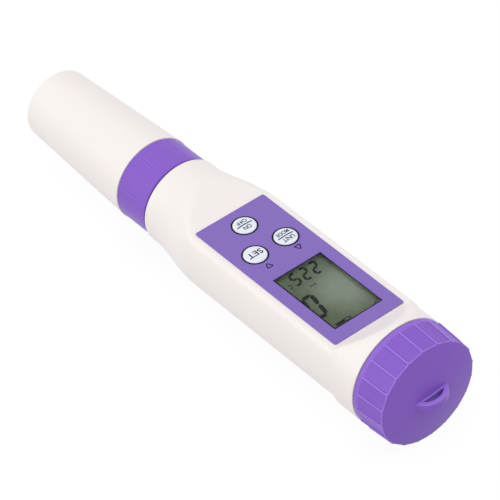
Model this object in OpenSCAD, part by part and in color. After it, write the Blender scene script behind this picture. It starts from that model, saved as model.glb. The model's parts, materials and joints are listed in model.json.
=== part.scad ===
// Water test pen: a screw-in electrode with a pull-off cap, a moulded meter body
// with a display and three buttons, and a screw-on battery cap with a lanyard tab.
// The pen lies on its back along X: probe cap towards -X, battery cap towards +X, display up.
// Every station "_s" is a distance along the pen from the closed end of the probe cap, in mm.

/* [Probe cap] */
// Length of the cap
cap_l = 52.3; // [48:0.1:58]
// Outer radius at the closed end
cap_end_r = 12.45; // [12.2:0.05:13.2]
// Outer radius at the mouth
cap_mouth_r = 14.95; // [14.7:0.05:15.4]
// Wall of the cap
cap_wall = 1.6; // [1.2:0.1:2]
// Rounding of the closed end's edge
cap_edge_r = 1; // [0.4:0.1:1.4]
// Radius of the straight bore at the mouth, where the seal grips
cap_bore_r = 13.2; // [13:0.05:13.5]
// Length of that bore
cap_bore_l = 12.3; // [10:0.1:14]

/* [Locking collar] */
// Length of the collar
collar_l = 14.4; // [13:0.1:18]
// Outer radius
collar_r = 14.65; // [14.4:0.05:15.2]
// Number of grip grooves
groove_n = 8; // [4:1:16]
// Width of a grip groove
groove_w = 0.6; // [0.4:0.05:1]
// Depth of a grip groove
groove_d = 0.25; // [0.15:0.05:0.5]
// Plain margin at the probe end of a groove
groove_front = 0.9; // [0.6:0.1:2]
// Plain margin at the body end of a groove
groove_rear = 2.4; // [1:0.1:3]
// Length of the inner lip that pulls on the electrode's flange
lip_l = 2.9; // [2:0.1:3.5]

/* [Meter body] */
// Radius of the round neck next to the collar
neck_r = 15.2; // [14.8:0.05:15.8]
// Half width of the grip
grip_half_w = 18.65; // [18:0.05:19.5]
// Depth of the belly below the axis, at the front of the grip
belly_front = 16.7; // [16.4:0.05:18]
// Depth of the belly below the axis, at the rear of the grip
belly_rear = 15.8; // [15.6:0.05:17.5]
// Height that the grip's sides aim for above the axis, before the flat cuts them
brow_h = 21; // [19.5:0.1:22]
// Radius of the round rear band next to the battery cap
rear_r = 18.7; // [18.5:0.05:19.2]
// Height of the flat face above the axis
flat_h = 10.6; // [10.2:0.05:11]
// Rounding where the flat meets the sides
flat_blend = 1.6; // [0.8:0.1:2.4]
// Slope of the ramp from the neck down to the flat, in degrees
front_ramp = 25.4; // [20:0.2:32]
// Slope of the ramp from the flat up to the rear band, in degrees
rear_ramp = 37; // [30:0.5:45]
// Length of the plain neck before the flare
neck_plain_l = 2.8; // [1:0.1:4]
// Length of the flare from the neck to the grip
flare_l = 23; // [20:0.5:26]
// Length of the step up to the rear band
step_l = 2.6; // [1.5:0.1:4]
// Length of the rear band
band_l = 8.9; // [6:0.1:10]
// Wall of the body
wall = 2; // [1.6:0.1:2.4]
// Length of the front threaded neck under the collar
thread_l = 10; // [8:0.1:11]
// Outer radius of the front thread
thread_r = 12.65; // [12.4:0.05:13]
// Radius of the front bore that takes the electrode's plug
plug_bore_r = 9.9; // [9.6:0.05:10.2]
// Length of the rear threaded neck under the battery cap
rear_thread_l = 9; // [7:0.1:9.2]
// Outer radius of the rear thread
rear_thread_r = 15.65; // [15.4:0.05:16]
// Radius of the rear bore that the chassis goes in by
rear_bore_r = 14.1; // [14.05:0.05:14.3]

/* [Label, window and buttons] */
// Distance of the label from the body's front parting line
label_inset = 24.9; // [24:0.1:27]
// Length of the label
label_l = 66.95; // [66:0.05:70]
// Width of the label
label_w = 27.35; // [26.5:0.05:28.4]
// Thickness of the label
label_t = 0.3; // [0.2:0.05:0.5]
// Corner radius of the label
label_corner_r = 0.7; // [0.4:0.1:2]
// Plain flat beyond the rear edge of the label
flat_margin = 0.7; // [0.3:0.1:2]
// Distance from the label's rear edge to the body's rear parting line
rear_inset = 12.85; // [12.4:0.05:13.6]
// Distance of the window from the label's rear edge
window_inset = 5; // [4.5:0.05:6]
// Length of the window
window_l = 29.25; // [27:0.05:29.6]
// Width of the window
window_w = 19; // [17.6:0.05:19.4]
// How far the window plate reaches under the label
window_lap = 0.5; // [0.3:0.05:0.6]
// Radius of a button's face
button_r = 3.8; // [3.4:0.05:4]
// Gap round a button
button_gap = 0.3; // [0.2:0.05:0.4]
// Height of a button's edge above the label
button_stand = 0.3; // [0.2:0.05:0.6]
// Rise of a button's crown over its edge
button_crown = 0.3; // [0.1:0.05:0.5]
// Travel of a button
button_travel = 0.4; // [0.25:0.05:0.45]
// Distance of the power button from the label's front edge
power_inset = 7.6; // [7:0.05:8.4]
// Distance of the button pair from the label's front edge
pair_inset = 20.2; // [19:0.05:21]
// Half spacing of the button pair
pair_half = 6.1; // [5.6:0.05:6.6]

/* [Battery cap] */
// Length of the battery cap's side, from its mouth to the edge of its end
lid_l = 12.1; // [11.9:0.1:15]
// Length of the plain round base band
lid_band_l = 1.6; // [1:0.1:2.5]
// Radius of the plain round base band
lid_band_r = 18.55; // [18.45:0.05:18.7]
// Number of grip facets
facet_n = 20; // [16:4:28]
// Radius of the facets' corners where they leave the band
facet_r = 18.45; // [18.3:0.05:18.6]
// Radius of the rib on each corner
rib_r = 0.35; // [0.2:0.05:0.4]
// Radius at which the ribs' centres lie where the facets leave the band
rib_ring_r = 18.65; // [18.6:0.05:18.7]
// Slope of the facets and ribs towards the end, in degrees
lid_taper = 1.7; // [0.5:0.1:2.5]
// Width of the bevel round the end
lid_bevel = 0.5; // [0.3:0.1:0.9]
// Rise of the domed end above its edge
dome_rise = 2.45; // [1.5:0.05:3]
// Thickness of the end wall at the edge of the dome
lid_end_t = 2; // [1.6:0.1:2.4]
// Angle that the cap stands turned by when it is screwed home, in degrees
lid_angle = 4.5; // [-9:0.5:9]
// How far the lanyard tab stands out of the dome
tab_out = 3.75; // [3:0.05:5]
// Width of the lanyard tab where it leaves the dome
tab_w = 12.3; // [10:0.1:14]
// Thickness of the lanyard tab
tab_t = 3.5; // [2.4:0.1:4]
// Width of the rim round the lanyard hole
tab_rim = 1.5; // [1.2:0.1:2]

/* [Electrode] */
// Radius of the spigot that carries the probe cap
spigot_r = 12.1; // [11.8:0.05:12.2]
// Outer radius of the slotted guard
guard_r = 8.2; // [7.8:0.05:8.6]
// Wall of the guard
guard_wall = 1.8; // [1.4:0.1:2]
// Gap between the guard's tip and the inside of the cap
guard_tip_gap = 7; // [5:0.1:9]
// Length of the guard's slots
slot_l = 11; // [8:0.5:13]
// Width of the guard's slots
slot_w = 5; // [4:0.1:6]
// Number of slots
slot_n = 4; // [3:1:6]
// Radius of the glass bulb
bulb_r = 5.2; // [4.6:0.05:5.6]
// Radius of the glass stem
stem_r = 4; // [3.6:0.05:4.2]
// Wall of the glass
glass_wall = 0.9; // [0.6:0.05:1.2]
// Thickness of the seal ring that grips the cap
cap_seal_t = 2.2; // [1.8:0.1:2.4]
// Thickness of the seal ring on the plug
plug_seal_t = 1.8; // [1.4:0.1:2]
// Radius of the temperature pin and of the junction plug
sensor_r = 0.9; // [0.6:0.05:1]
// Radius of a connector pin
pin_r = 0.5; // [0.4:0.05:0.6]

/* [Board and batteries] */
// Height of the board's top face above the axis
board_top = 3.2; // [2.8:0.1:3.4]
// Thickness of the board
board_t = 1.6; // [1:0.1:1.6]
// Width of the board
board_w = 24; // [22:0.1:25]
// Thickness of the display glass
lcd_t = 2.2; // [1.8:0.1:2.6]
// Border of the display glass round the window
lcd_border = 0.7; // [0.6:0.05:0.8]
// Thickness of the chassis plate
chassis_t = 1.6; // [1.2:0.1:2]
// Width of the chassis plate
chassis_w = 22; // [21:0.1:24]
// Radius of a button cell
cell_r = 5.8; // [5.7:0.05:5.85]
// Thickness of a button cell
cell_t = 5.4; // [5.2:0.05:5.6]
// Wall of the battery tube
tube_wall = 1.15; // [1:0.05:1.4]
// Radius of the spring wire
spring_wire_r = 0.35; // [0.25:0.05:0.45]
// Height of a cell's small end
cell_nose_l = 1.4; // [1:0.05:1.8]
// Number of turns of the spring
spring_turns = 2.5; // [2:0.5:3]

/* [Fits] */
// Gap in the parting line between the body and its screwed parts
parting_gap = 0.4; // [0.2:0.05:0.6]
// Gap between faces that seat on one another
seat_gap = 0.1; // [0.05:0.05:0.2]
// Running gap of a turning or sliding part in its bore
run_gap = 0.08; // [0.04:0.01:0.1]
// Gap round pieces that are pressed or glued in
fit_gap = 0.05; // [0.03:0.01:0.08]
// Gap round pieces that pass each other loosely
loose_gap = 0.15; // [0.1:0.01:0.2]

/* [Hidden] */

// Colours
white_abs = "#f4efec";
violet_abs = "#8e69c8";
label_violet = "#8a71c5";
button_white = "#e8ebf0";
inner_grey = "#c9cbce";
board_green = "#2f7a4b";
brass_tone = "#c9a95a";
steel_tone = "#b9bec4";
rubber_black = "#26262a";
chip_black = "#2b2c30";
lcd_grey = "#72806f";

// Stations along the pen
collar_s = cap_l + seat_gap;
collar_end = collar_s + collar_l;
body_s = collar_end + parting_gap;
body_end = body_s + label_inset + label_l + rear_inset;
lid_s = body_end + parting_gap;
lid_end = lid_s + lid_l;
dome_s = lid_end + dome_rise;
pen_l = dome_s + tab_out;
facets_s = lid_s + lid_band_l;
thread_s = body_s - thread_l;
rear_thread_end = body_end + rear_thread_l;
label_s = body_s + label_inset;
label_end = label_s + label_l;
flat_end = label_end + flat_margin;
window_s = label_end - window_inset - window_l;
window_mid = window_s + window_l / 2;
power_s = label_s + power_inset;
pair_s = label_s + pair_inset;
button_spots = [[power_s, 0], [pair_s, pair_half], [pair_s, -pair_half]];
flare_s = body_s + neck_plain_l;
flare_end = flare_s + flare_l;
band_s = body_end - band_l;
step_s = band_s - step_l;
// The rear bore starts where the ramp has risen clear of it
bore_s = flat_end + (rear_bore_r + wall - flat_h) / tan(rear_ramp);
brow_l = 5;
brow_end = flare_end + 1;
ramp_l = 13;
// How far a cut runs out past the face that it opens, and a joined piece runs in
over = 1;
lid_wall_s = lid_end - lid_end_t;

// Heights above the axis
label_top = flat_h + label_t;
ceiling = flat_h - wall;
board_base = board_top - board_t;
standoff_l = 1.2;
chassis_top = board_base - standoff_l;
lcd_top = ceiling - seat_gap;
lcd_base = lcd_top - lcd_t;
button_flange_t = 0.85;
button_flange_lap = 0.25;
button_flange_r = button_r + button_gap + button_flange_lap;
button_stem_l = 0.5;
plunger_top = ceiling - fit_gap - button_flange_t - button_stem_l;
switch_top = plunger_top - button_travel - seat_gap;

// The pen lies on the body's rear band, or on the battery cap where that is lower
rib_low = max([for (i = [0:facet_n - 1]) rib_ring_r * cos(360 * i / facet_n + lid_angle)]) + rib_r;
axis_z = max(rear_r, lid_band_r, rib_low);
round_fn = 96;

// Front cavity, plug and socket
front_block_l = 8.8;
cavity_s = body_s + front_block_l;
plug_gap = 0.4;
plug_depth = 5.4;
socket_l = 10.4;
socket_s = body_s + plug_depth;
socket_end = socket_s + socket_l;
plug_end = socket_s - plug_gap;
flange_end = thread_s - seat_gap;
flange_s = collar_s + lip_l + seat_gap;
spigot_room = 0.5;
spigot_s = cap_l - cap_bore_l + spigot_room;
pin_reach = 6.6;
pin_root_l = 5;
pin_room = 1.4;
contact_wall = 0.5;
contact_r = pin_r + contact_wall;
contact_tail_l = 5;
row_spread = 4;
upper_row = board_top + pin_r + seat_gap;
lower_row = board_base - pin_r - seat_gap;
pin_spots = [[-row_spread, upper_row], [0, upper_row], [row_spread, upper_row],
             [-row_spread / 2, lower_row], [row_spread / 2, lower_row]];

// Probe
guard_s = cap_wall + guard_tip_gap;
guard_seat_l = 7.5;
guard_end = spigot_s + guard_seat_l;
guard_bore_r = guard_r - guard_wall;
guard_edge = 0.6;
web_gap = 2;
web_s = guard_s + slot_l + web_gap;
web_l = 3;
bulb_inset = 1.3;
bulb_s = guard_s + bulb_r + bulb_inset;
bulb_end = bulb_s + sqrt(pow(bulb_r, 2) - pow(stem_r, 2));
stem_seat = 3;
stem_end = flange_end + stem_seat;
wire_r = 0.45;
wire_end = plug_end - 2;
sensor_ring_r = (stem_r + guard_bore_r) / 2;
sensor_tail = 1;
junction_reach = 0.5;
pin_tip_gap = 0.3;
lead_in = 0.5;
cap_seal_s = spigot_s + cap_bore_l / 2;
plug_seal_inset = 4.7;
plug_seal_s = thread_s + plug_seal_inset;

// Board, chassis and batteries
cell_n = 4;
lcd_l = window_l + 2 * window_lap + 2 * lcd_border;
lcd_w = window_w + 2 * lcd_border;
lcd_frame_wall = 0.6;
frame_w = lcd_w + 2 * seat_gap + 2 * lcd_frame_wall;
frame_s = window_mid - lcd_l / 2;
frame_end = window_mid + lcd_l / 2;
board_s = socket_end + seat_gap;
board_end = frame_end - 0.4;
cell_room = 0.25;
cell_nose_r = cell_r - 0.9;
tube_r = cell_r + cell_room + tube_wall;
tube_s = frame_end + seat_gap;
tube_end = rear_thread_end;
tube_front_t = 0.8;
contact_t = 0.3;
disc_s = lid_wall_s - contact_t - fit_gap;
stack_end = disc_s - fit_gap;
stack_s = stack_end - cell_n * cell_t;
plate_s = tube_s + tube_front_t + fit_gap;
spring_s = plate_s + contact_t + fit_gap;
spring_l = stack_s - spring_s - fit_gap;
chassis_gap = 5;
chassis_s = socket_end + chassis_gap;
chassis_base = chassis_top - chassis_t;
switch_side = 6;
screw_r = 0.9;
screw_head_r = 1.9;
screw_head_t = 0.9;
screw_side_inset = 2.6;
screw_front_inset = 2.4;
screw_y = board_w / 2 - screw_side_inset;
// The rear screws stand midway between the rows of buttons, clear of the switches
screw_spots = [for (s = [chassis_s + screw_front_inset, (power_s + pair_s) / 2]) for (side = [-1, 1])
    [s, side * screw_y]];
standoff_r = 2;
strip_w = 4;
strip_z = -tube_r - fit_gap;
strip_lead = 4.5;
strip_front_s = tube_s - strip_lead;
tail_w = 3;
tail_l = 3;

// Smooth step from 0 to 1 as s goes from a to b
function ease(a, b, s) = let (u = min(1, max(0, (s - a) / (b - a)))) u * u * (3 - 2 * u);
function mix(a, b, u) = a + (b - a) * u;
// The lower of two heights, with a rounded corner of size k between them
function soft_min(a, b, k) = min(a, b) - pow(max(k - abs(a - b), 0), 2) / (4 * k);
// Points of an arc from angle a to angle b round a centre
function arc(centre, r, a, b, n) =
    [for (i = [0:n]) centre + r * [cos(mix(a, b, i / n)), sin(mix(a, b, i / n))]];
function round_rect(l, w, r) = concat(
    arc([l / 2 - r, w / 2 - r], r, 0, 90, 6), arc([r - l / 2, w / 2 - r], r, 90, 180, 6),
    arc([r - l / 2, r - w / 2], r, 180, 270, 6), arc([l / 2 - r, r - w / 2], r, 270, 360, 6));

// Form of the meter body at station s: half width, belly, brow and height of the flat
function grip(s) = ease(flare_s, flare_end, s);
function band(s) = ease(step_s, band_s, s);
function belly(s) = mix(belly_front, belly_rear, (s - flare_end) / (step_s - flare_end));
function body_half_w(s) = mix(mix(neck_r, grip_half_w, grip(s)), rear_r, band(s));
function body_belly(s) = mix(mix(neck_r, belly(s), grip(s)), rear_r, band(s));
function body_brow(s) = mix(mix(mix(neck_r, grip_half_w, grip(s)), brow_h,
    ease(brow_end - brow_l, brow_end, s)), rear_r, band(s));
function body_flat(s) =
    flat_h + max(0, label_s - s) * tan(front_ramp) + max(0, s - flat_end) * tan(rear_ramp);

// Angles round a section, closest together where the flat turns into the sides
side_angles = concat([for (a = [-90:10:10]) a], [for (a = [20:3:41]) a], [for (a = [50:10:80]) a]);
ring_angles = concat(side_angles, [90], [for (i = [len(side_angles) - 1:-1:1]) 180 - side_angles[i]]);
function body_point(s, a, inset) =
    let (up = sin(a) > 0 ? body_brow(s) : body_belly(s))
    [s, (body_half_w(s) - inset) * cos(a),
     soft_min((up - inset) * sin(a), body_flat(s) - inset, flat_blend)];
function body_ring(s, inset) = [for (a = ring_angles) body_point(s, a, inset)];

// Stations of the outer skin: close together on the ramps, far apart between them
skin_stations = concat(
    [body_s, flare_s], [for (i = [1:4]) mix(flare_s, label_s - ramp_l, i / 4)],
    [for (i = [1:12]) mix(label_s - ramp_l, label_s, i / 12)], [brow_end, brow_end + brow_l],
    [for (i = [1:3]) mix(brow_end + brow_l, flat_end, i / 3)],
    [for (i = [1:13]) mix(flat_end, body_end, i / 13)]);
cavity_stations = concat(
    [for (i = [0:6]) mix(cavity_s, label_s, i / 6)], [for (i = [1:3]) mix(label_s, flat_end, i / 3)],
    [for (i = [1:5]) mix(flat_end, bore_s + 0.5, i / 5)]);

function mean(points, i = 0) = i == len(points) ? [0, 0, 0] : points[i] / len(points) + mean(points, i + 1);

// A closed skin through a row of rings, with a fan of faces at each end
module skin(rings) {
    n = len(rings[0]);
    last = len(rings) - 1;
    first_hub = len(rings) * n;
    last_hub = first_hub + 1;
    sides = [for (i = [0:last - 1]) for (j = [0:n - 1]) for (half = [0, 1])
        let (a = i * n + j, b = i * n + (j + 1) % n, c = a + n, d = b + n)
        half == 0 ? [a, d, b] : [a, c, d]];
    first_fan = [for (j = [0:n - 1]) [first_hub, j, (j + 1) % n]];
    last_fan = [for (j = [0:n - 1]) [last_hub, last * n + (j + 1) % n, last * n + j]];
    polyhedron(
        points = concat([for (ring = rings) for (p = ring) p], [mean(rings[0])], [mean(rings[last])]),
        faces = concat(sides, first_fan, last_fan), convexity = 6);
}

// A shape turned about the pen's axis from an outline in [radius, station]
module turned() {
    rotate([0, 90, 0]) rotate_extrude($fn = round_fn) children();
}

module rod(s, l, r) {
    translate([s, 0, 0]) rotate([0, 90, 0]) cylinder(h = l, r = r, $fn = round_fn);
}

// A box from low to high along each axis
module block(s, y, z) {
    translate([s[0], y[0], z[0]]) cube([s[1] - s[0], y[1] - y[0], z[1] - z[0]]);
}

module upright(s, y, z0, z1, r) {
    translate([s, y, z0]) cylinder(h = z1 - z0, r = r, $fn = 48);
}

// A ring of round rubber about the axis
module seal_ring(s, r, t) {
    turned() translate([r, s]) circle(d = t, $fn = 32);
}

// Moves the pen so that it lies on the ground, centred on its length
module place() {
    translate([-pen_l / 2, 0, axis_z]) children();
}

// Cuts for the three buttons through a wall from z0 to z1
module button_holes(z0, z1) {
    for (spot = button_spots) upright(spot[0], spot[1], z0 - over, z1 + over, button_r + button_gap);
}

// Moulded body: round neck, ramp, flat face and round rear band in one skin, with a thread at each end
module housing() {
    color(white_abs) difference() {
        union() {
            skin([for (s = skin_stations) body_ring(s, 0)]);
            rod(thread_s, thread_l + over, thread_r);
            rod(body_end - over, rear_thread_l + over, rear_thread_r);
        }
        skin([for (s = cavity_stations) body_ring(s, wall)]);
        rod(thread_s - over, cavity_s - thread_s + 2 * over, plug_bore_r);
        rod(bore_s, rear_thread_end - bore_s + over, rear_bore_r);
        translate([window_mid, 0, ceiling - over])
            linear_extrude(wall + 2 * over)
                square([window_l + 2 * window_lap, window_w + 2 * window_lap], center = true);
        button_holes(ceiling, flat_h);
    }
}

// Printed film on the flat, open over the display and round the buttons
module label_overlay() {
    color(label_violet) difference() {
        translate([label_s + label_l / 2, 0, flat_h])
            linear_extrude(label_t) polygon(round_rect(label_l, label_w, label_corner_r));
        block([window_s, window_s + window_l], [-window_w / 2, window_w / 2],
            [flat_h - over, label_top + over]);
        button_holes(flat_h, label_top);
    }
}

module display_window() {
    l = window_l + 2 * window_lap - 2 * fit_gap;
    w = window_w + 2 * window_lap - 2 * fit_gap;
    color("#dfe6e2", 0.35) translate([window_mid, 0, ceiling + fit_gap])
        linear_extrude(wall - 2 * fit_gap) square([l, w], center = true);
}

module lcd_panel() {
    color(lcd_grey) block([frame_s, frame_end], [-lcd_w / 2, lcd_w / 2], [lcd_base, lcd_top]);
}

zebra_w = 2;
zebra_inset = 0.4;
zebra_y = lcd_w / 2 - zebra_w / 2 - zebra_inset;
zebra_l = lcd_l - 4;
frame_bar = 1;
module zebra_pair(w, l, z0, z1) {
    for (side = [-1, 1])
        block([window_mid - l / 2, window_mid + l / 2],
            [side * zebra_y - w / 2, side * zebra_y + w / 2], [z0, z1]);
}

// Frame that holds the display over the board, open in the middle and at the two ends of the glass
module lcd_frame() {
    opening_w = 2 * zebra_y - zebra_w - 2 * frame_bar;
    pocket_w = lcd_w + 2 * seat_gap;
    color(inner_grey) difference() {
        block([frame_s, frame_end], [-frame_w / 2, frame_w / 2], [board_top + fit_gap, lcd_top]);
        block([frame_s - over, frame_end + over], [-pocket_w / 2, pocket_w / 2],
            [lcd_base - fit_gap, lcd_top + over]);
        block([window_mid - zebra_l / 2, window_mid + zebra_l / 2], [-opening_w / 2, opening_w / 2],
            [board_top - over, lcd_base + over]);
        zebra_pair(zebra_w + 2 * fit_gap, zebra_l + 2 * fit_gap, board_top - over, lcd_base + over);
    }
}

module zebra_strips() {
    color(rubber_black) zebra_pair(zebra_w, zebra_l, board_top + fit_gap, lcd_base - fit_gap);
}

module main_board() {
    color(board_green) difference() {
        block([board_s, board_end], [-board_w / 2, board_w / 2], [board_base, board_top]);
        for (spot = screw_spots)
            upright(spot[0], spot[1], board_base - over, board_top + over, screw_r + loose_gap);
    }
}

module chip(s, l, w, t) {
    color(chip_black) block([s - l / 2, s + l / 2], [-w / 2, w / 2], [board_top + fit_gap, board_top + t]);
}

controller_side = 7;
controller_t = 1.4;
module controller_chip() {
    chip(window_mid, controller_side, controller_side, controller_t);
}

amplifier_l = 4;
amplifier_w = 5;
amplifier_t = 1.5;
amplifier_gap = 1.4;
module amplifier_chip() {
    chip(board_s + contact_tail_l + amplifier_gap + amplifier_l / 2, amplifier_l, amplifier_w, amplifier_t);
}

// Push switch under a button: a square box with a blind hole for its plunger
plunger_r = 1.7;
plunger_l = 1.2;
plunger_room = 0.2;
module switch_box(s, y) {
    half = switch_side / 2;
    color(chip_black) difference() {
        block([s - half, s + half], [y - half, y + half], [board_top + fit_gap, switch_top]);
        upright(s, y, plunger_top - plunger_l - button_travel - plunger_room, switch_top + over,
            plunger_r + fit_gap);
    }
}

module plunger(s, y) {
    color(brass_tone) upright(s, y, plunger_top - plunger_l, plunger_top, plunger_r);
}

// Button: crowned face, retaining flange under the wall and a short stem on the switch
module button(s, y) {
    face_edge = label_top + button_stand;
    flange_top = ceiling - fit_gap;
    edge_round = 0.35;
    sphere_r = (pow(button_r - edge_round, 2) + pow(button_crown, 2)) / (2 * button_crown);
    crown_angle = asin((button_r - edge_round) / sphere_r);
    edge = arc([button_r - edge_round, face_edge - edge_round], edge_round, 0, 90 - crown_angle, 4);
    crown = arc([0, face_edge + button_crown - sphere_r], sphere_r, 90 - crown_angle, 90, 8);
    color(button_white) translate([s, y, 0]) rotate_extrude($fn = 64)
        polygon(concat(
            [[0, plunger_top], [plunger_r, plunger_top], [plunger_r, flange_top - button_flange_t],
             [button_flange_r, flange_top - button_flange_t], [button_flange_r, flange_top],
             [button_r, flange_top]],
            edge, crown));
}

// Board screws: low round heads with their shanks in the standoffs
module board_screws() {
    color(steel_tone) for (spot = screw_spots) {
        upright(spot[0], spot[1], board_top, board_top + screw_head_t, screw_head_r);
        upright(spot[0], spot[1], chassis_base + seat_gap, board_top + fit_gap, screw_r);
    }
}

// Carrier of the board, with the battery tube at its rear end and a flange in the rear bore
module chassis() {
    flange_l = 2.6;
    flange_r = rear_bore_r - fit_gap;
    tail_room = tail_w / 2 + loose_gap;
    strip_room = strip_w / 2 + loose_gap;
    color(inner_grey) difference() {
        union() {
            block([chassis_s, tube_s + tube_front_t], [-chassis_w / 2, chassis_w / 2],
                [chassis_base, chassis_top]);
            for (spot = screw_spots) upright(spot[0], spot[1], chassis_base, board_base, standoff_r);
            rod(tube_s, tube_end - tube_s, tube_r);
            rod(tube_end - flange_l, flange_l, flange_r);
        }
        rod(tube_s + tube_front_t, tube_end - tube_s, tube_r - tube_wall);
        for (spot = screw_spots)
            upright(spot[0], spot[1], chassis_base - over, board_base + over, screw_r + fit_gap);
        block([tube_s - over, tube_s + tube_front_t + over], [-tail_room, tail_room],
            [board_base - contact_t - 2 * loose_gap, board_base]);
        block([strip_front_s - loose_gap, tube_end + over], [-strip_room, strip_room],
            [strip_z - contact_t - loose_gap, strip_z + fit_gap]);
        block([strip_front_s - loose_gap, strip_front_s + contact_t + loose_gap],
            [-strip_room, strip_room], [chassis_base - over, chassis_top + over]);
    }
}

// Contact at the closed end of the tube, with a tail under the board
module inner_contact() {
    tail_z = board_base - contact_t - fit_gap;
    color(brass_tone) {
        rod(plate_s, contact_t, cell_nose_r);
        block([tube_s - tail_l, plate_s + contact_t], [-tail_w / 2, tail_w / 2],
            [tail_z, tail_z + contact_t]);
    }
}

// Coil spring between the inner contact and the first cell
spring_ring_r = 4.2;
spring_sides = 6;
spring_steps = 16;
function spring_ring(i) =
    let (turn = i / spring_steps, run = spring_l - 2 * spring_wire_r, count = spring_turns * spring_steps,
         along = spring_s + spring_wire_r + run * i / count, a = 360 * turn)
    [for (j = [0:spring_sides - 1])
        let (b = 360 * j / spring_sides, r = spring_ring_r + spring_wire_r * cos(b))
        [along + spring_wire_r * sin(b), r * cos(a), r * sin(a)]];
module battery_spring() {
    color(steel_tone) skin([for (i = [0:spring_turns * spring_steps]) spring_ring(i)]);
}

// Button cell number i, counted from the spring
module battery_cell(i) {
    cell_s = stack_s + (i - 1) * cell_t;
    color(steel_tone) {
        rod(cell_s + cell_nose_l, cell_t - cell_nose_l - fit_gap, cell_r);
        rod(cell_s, cell_nose_l + over, cell_nose_r);
    }
}

// Strip that carries the far end of the stack back to the board, along the tube
module return_strip() {
    top = board_base - fit_gap;
    outer_z = strip_z - contact_t;
    inner_s = strip_front_s + contact_t;
    color(brass_tone) translate([0, strip_w / 2, 0]) rotate([90, 0, 0]) linear_extrude(strip_w)
        polygon([[strip_front_s, outer_z], [stack_end, outer_z], [stack_end, strip_z],
                 [inner_s, strip_z], [inner_s, top], [strip_front_s, top]]);
}

module at_pins() {
    for (spot = pin_spots) translate([0, spot[0], spot[1]]) children();
}

// Socket in the front bore, behind the electrode's plug
module probe_socket() {
    color(chip_black) difference() {
        rod(socket_s, socket_l, plug_bore_r - fit_gap);
        at_pins() rod(socket_s - over, socket_l + 2 * over, contact_r + fit_gap);
    }
}

module socket_contacts() {
    color(brass_tone) at_pins() difference() {
        union() {
            rod(socket_s, socket_l, contact_r);
            rod(socket_end - over, contact_tail_l + over, pin_r);
        }
        rod(socket_s - over, pin_reach + pin_room + over, pin_r + run_gap);
    }
}

// Electrode body: cap spigot, flange held by the collar, and plug
module electrode_holder() {
    plug_r = plug_bore_r - run_gap;
    flange_r = thread_r - loose_gap;
    cap_groove = cap_bore_r - run_gap - cap_seal_t - fit_gap;
    plug_groove = plug_bore_r - run_gap - plug_seal_t - fit_gap;
    cap_half = cap_seal_t / 2 + fit_gap;
    plug_half = plug_seal_t / 2 + fit_gap;
    color(white_abs) difference() {
        turned() polygon([
            [0, spigot_s], [spigot_r - lead_in, spigot_s], [spigot_r, spigot_s + lead_in],
            [spigot_r, cap_seal_s - cap_half], [cap_groove, cap_seal_s - cap_half],
            [cap_groove, cap_seal_s + cap_half], [spigot_r, cap_seal_s + cap_half],
            [spigot_r, flange_s], [flange_r, flange_s], [flange_r, flange_end], [plug_r, flange_end],
            [plug_r, plug_seal_s - plug_half], [plug_groove, plug_seal_s - plug_half],
            [plug_groove, plug_seal_s + plug_half], [plug_r, plug_seal_s + plug_half],
            [plug_r, plug_end - lead_in], [plug_r - lead_in, plug_end], [0, plug_end]]);
        rod(spigot_s - over, guard_end - spigot_s + over, guard_r + fit_gap);
        rod(guard_end - over, stem_end - guard_end + over, stem_r + fit_gap);
        rod(stem_end - over, wire_end - stem_end + over + fit_gap, wire_r + fit_gap);
        at_pins() rod(plug_end - pin_root_l, pin_root_l + over, pin_r + fit_gap);
    }
}

module plug_pins() {
    color(brass_tone) at_pins()
        rod(plug_end - pin_root_l + fit_gap, pin_root_l + plug_gap + pin_reach, pin_r);
}

module plug_seal() {
    color(rubber_black) seal_ring(plug_seal_s, plug_bore_r - run_gap - plug_seal_t / 2, plug_seal_t);
}

module cap_seal() {
    color(rubber_black) seal_ring(cap_seal_s, cap_bore_r - run_gap - cap_seal_t / 2, cap_seal_t);
}

module at_sensors(side) {
    translate([0, side * sensor_ring_r, 0]) children();
}

// Slotted guard round the bulb, with a web that carries the stem and the two sensors
module probe_guard() {
    color(white_abs) difference() {
        turned() polygon([
            [guard_bore_r, guard_s], [guard_r - guard_edge, guard_s], [guard_r, guard_s + guard_edge],
            [guard_r, guard_end - fit_gap], [guard_bore_r, guard_end - fit_gap],
            [guard_bore_r, web_s + web_l],
            [stem_r + fit_gap, web_s + web_l], [stem_r + fit_gap, web_s], [guard_bore_r, web_s]]);
        for (i = [0:slot_n - 1]) rotate([360 * i / slot_n + 180 / slot_n, 0, 0])
            block([guard_s - over, guard_s + slot_l], [-slot_w / 2, slot_w / 2], [0, guard_r + over]);
        for (side = [-1, 1]) at_sensors(side) rod(web_s - over, web_l + 2 * over, sensor_r + fit_gap);
    }
}

// Thin glass bulb blown on the end of a glass stem
module glass_electrode() {
    inner = stem_r - glass_wall;
    join = acos(stem_r / bulb_r);
    inner_bulb = bulb_r - glass_wall;
    inner_join = acos(inner / inner_bulb);
    color("#dfe9ee", 0.5) turned() polygon(concat(
        [for (p = arc([0, bulb_s], bulb_r, -90, join, 16)) p],
        [[stem_r, stem_end - fit_gap], [inner, stem_end - fit_gap]],
        [for (p = arc([0, bulb_s], inner_bulb, inner_join, -90, 16)) p]));
}

module inner_wire() {
    color(steel_tone) rod(bulb_s, wire_end - bulb_s, wire_r);
}

// Sensors in the web: a porous plug on one side and a metal pin on the other
module sensor(side, reach) {
    at_sensors(side) rod(web_s - reach, web_l + reach + sensor_tail, sensor_r);
}

module reference_junction() {
    color("#e9e2d2") sensor(1, junction_reach);
}

module temperature_pin() {
    color(steel_tone) sensor(-1, web_s - bulb_end - pin_tip_gap);
}

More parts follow.
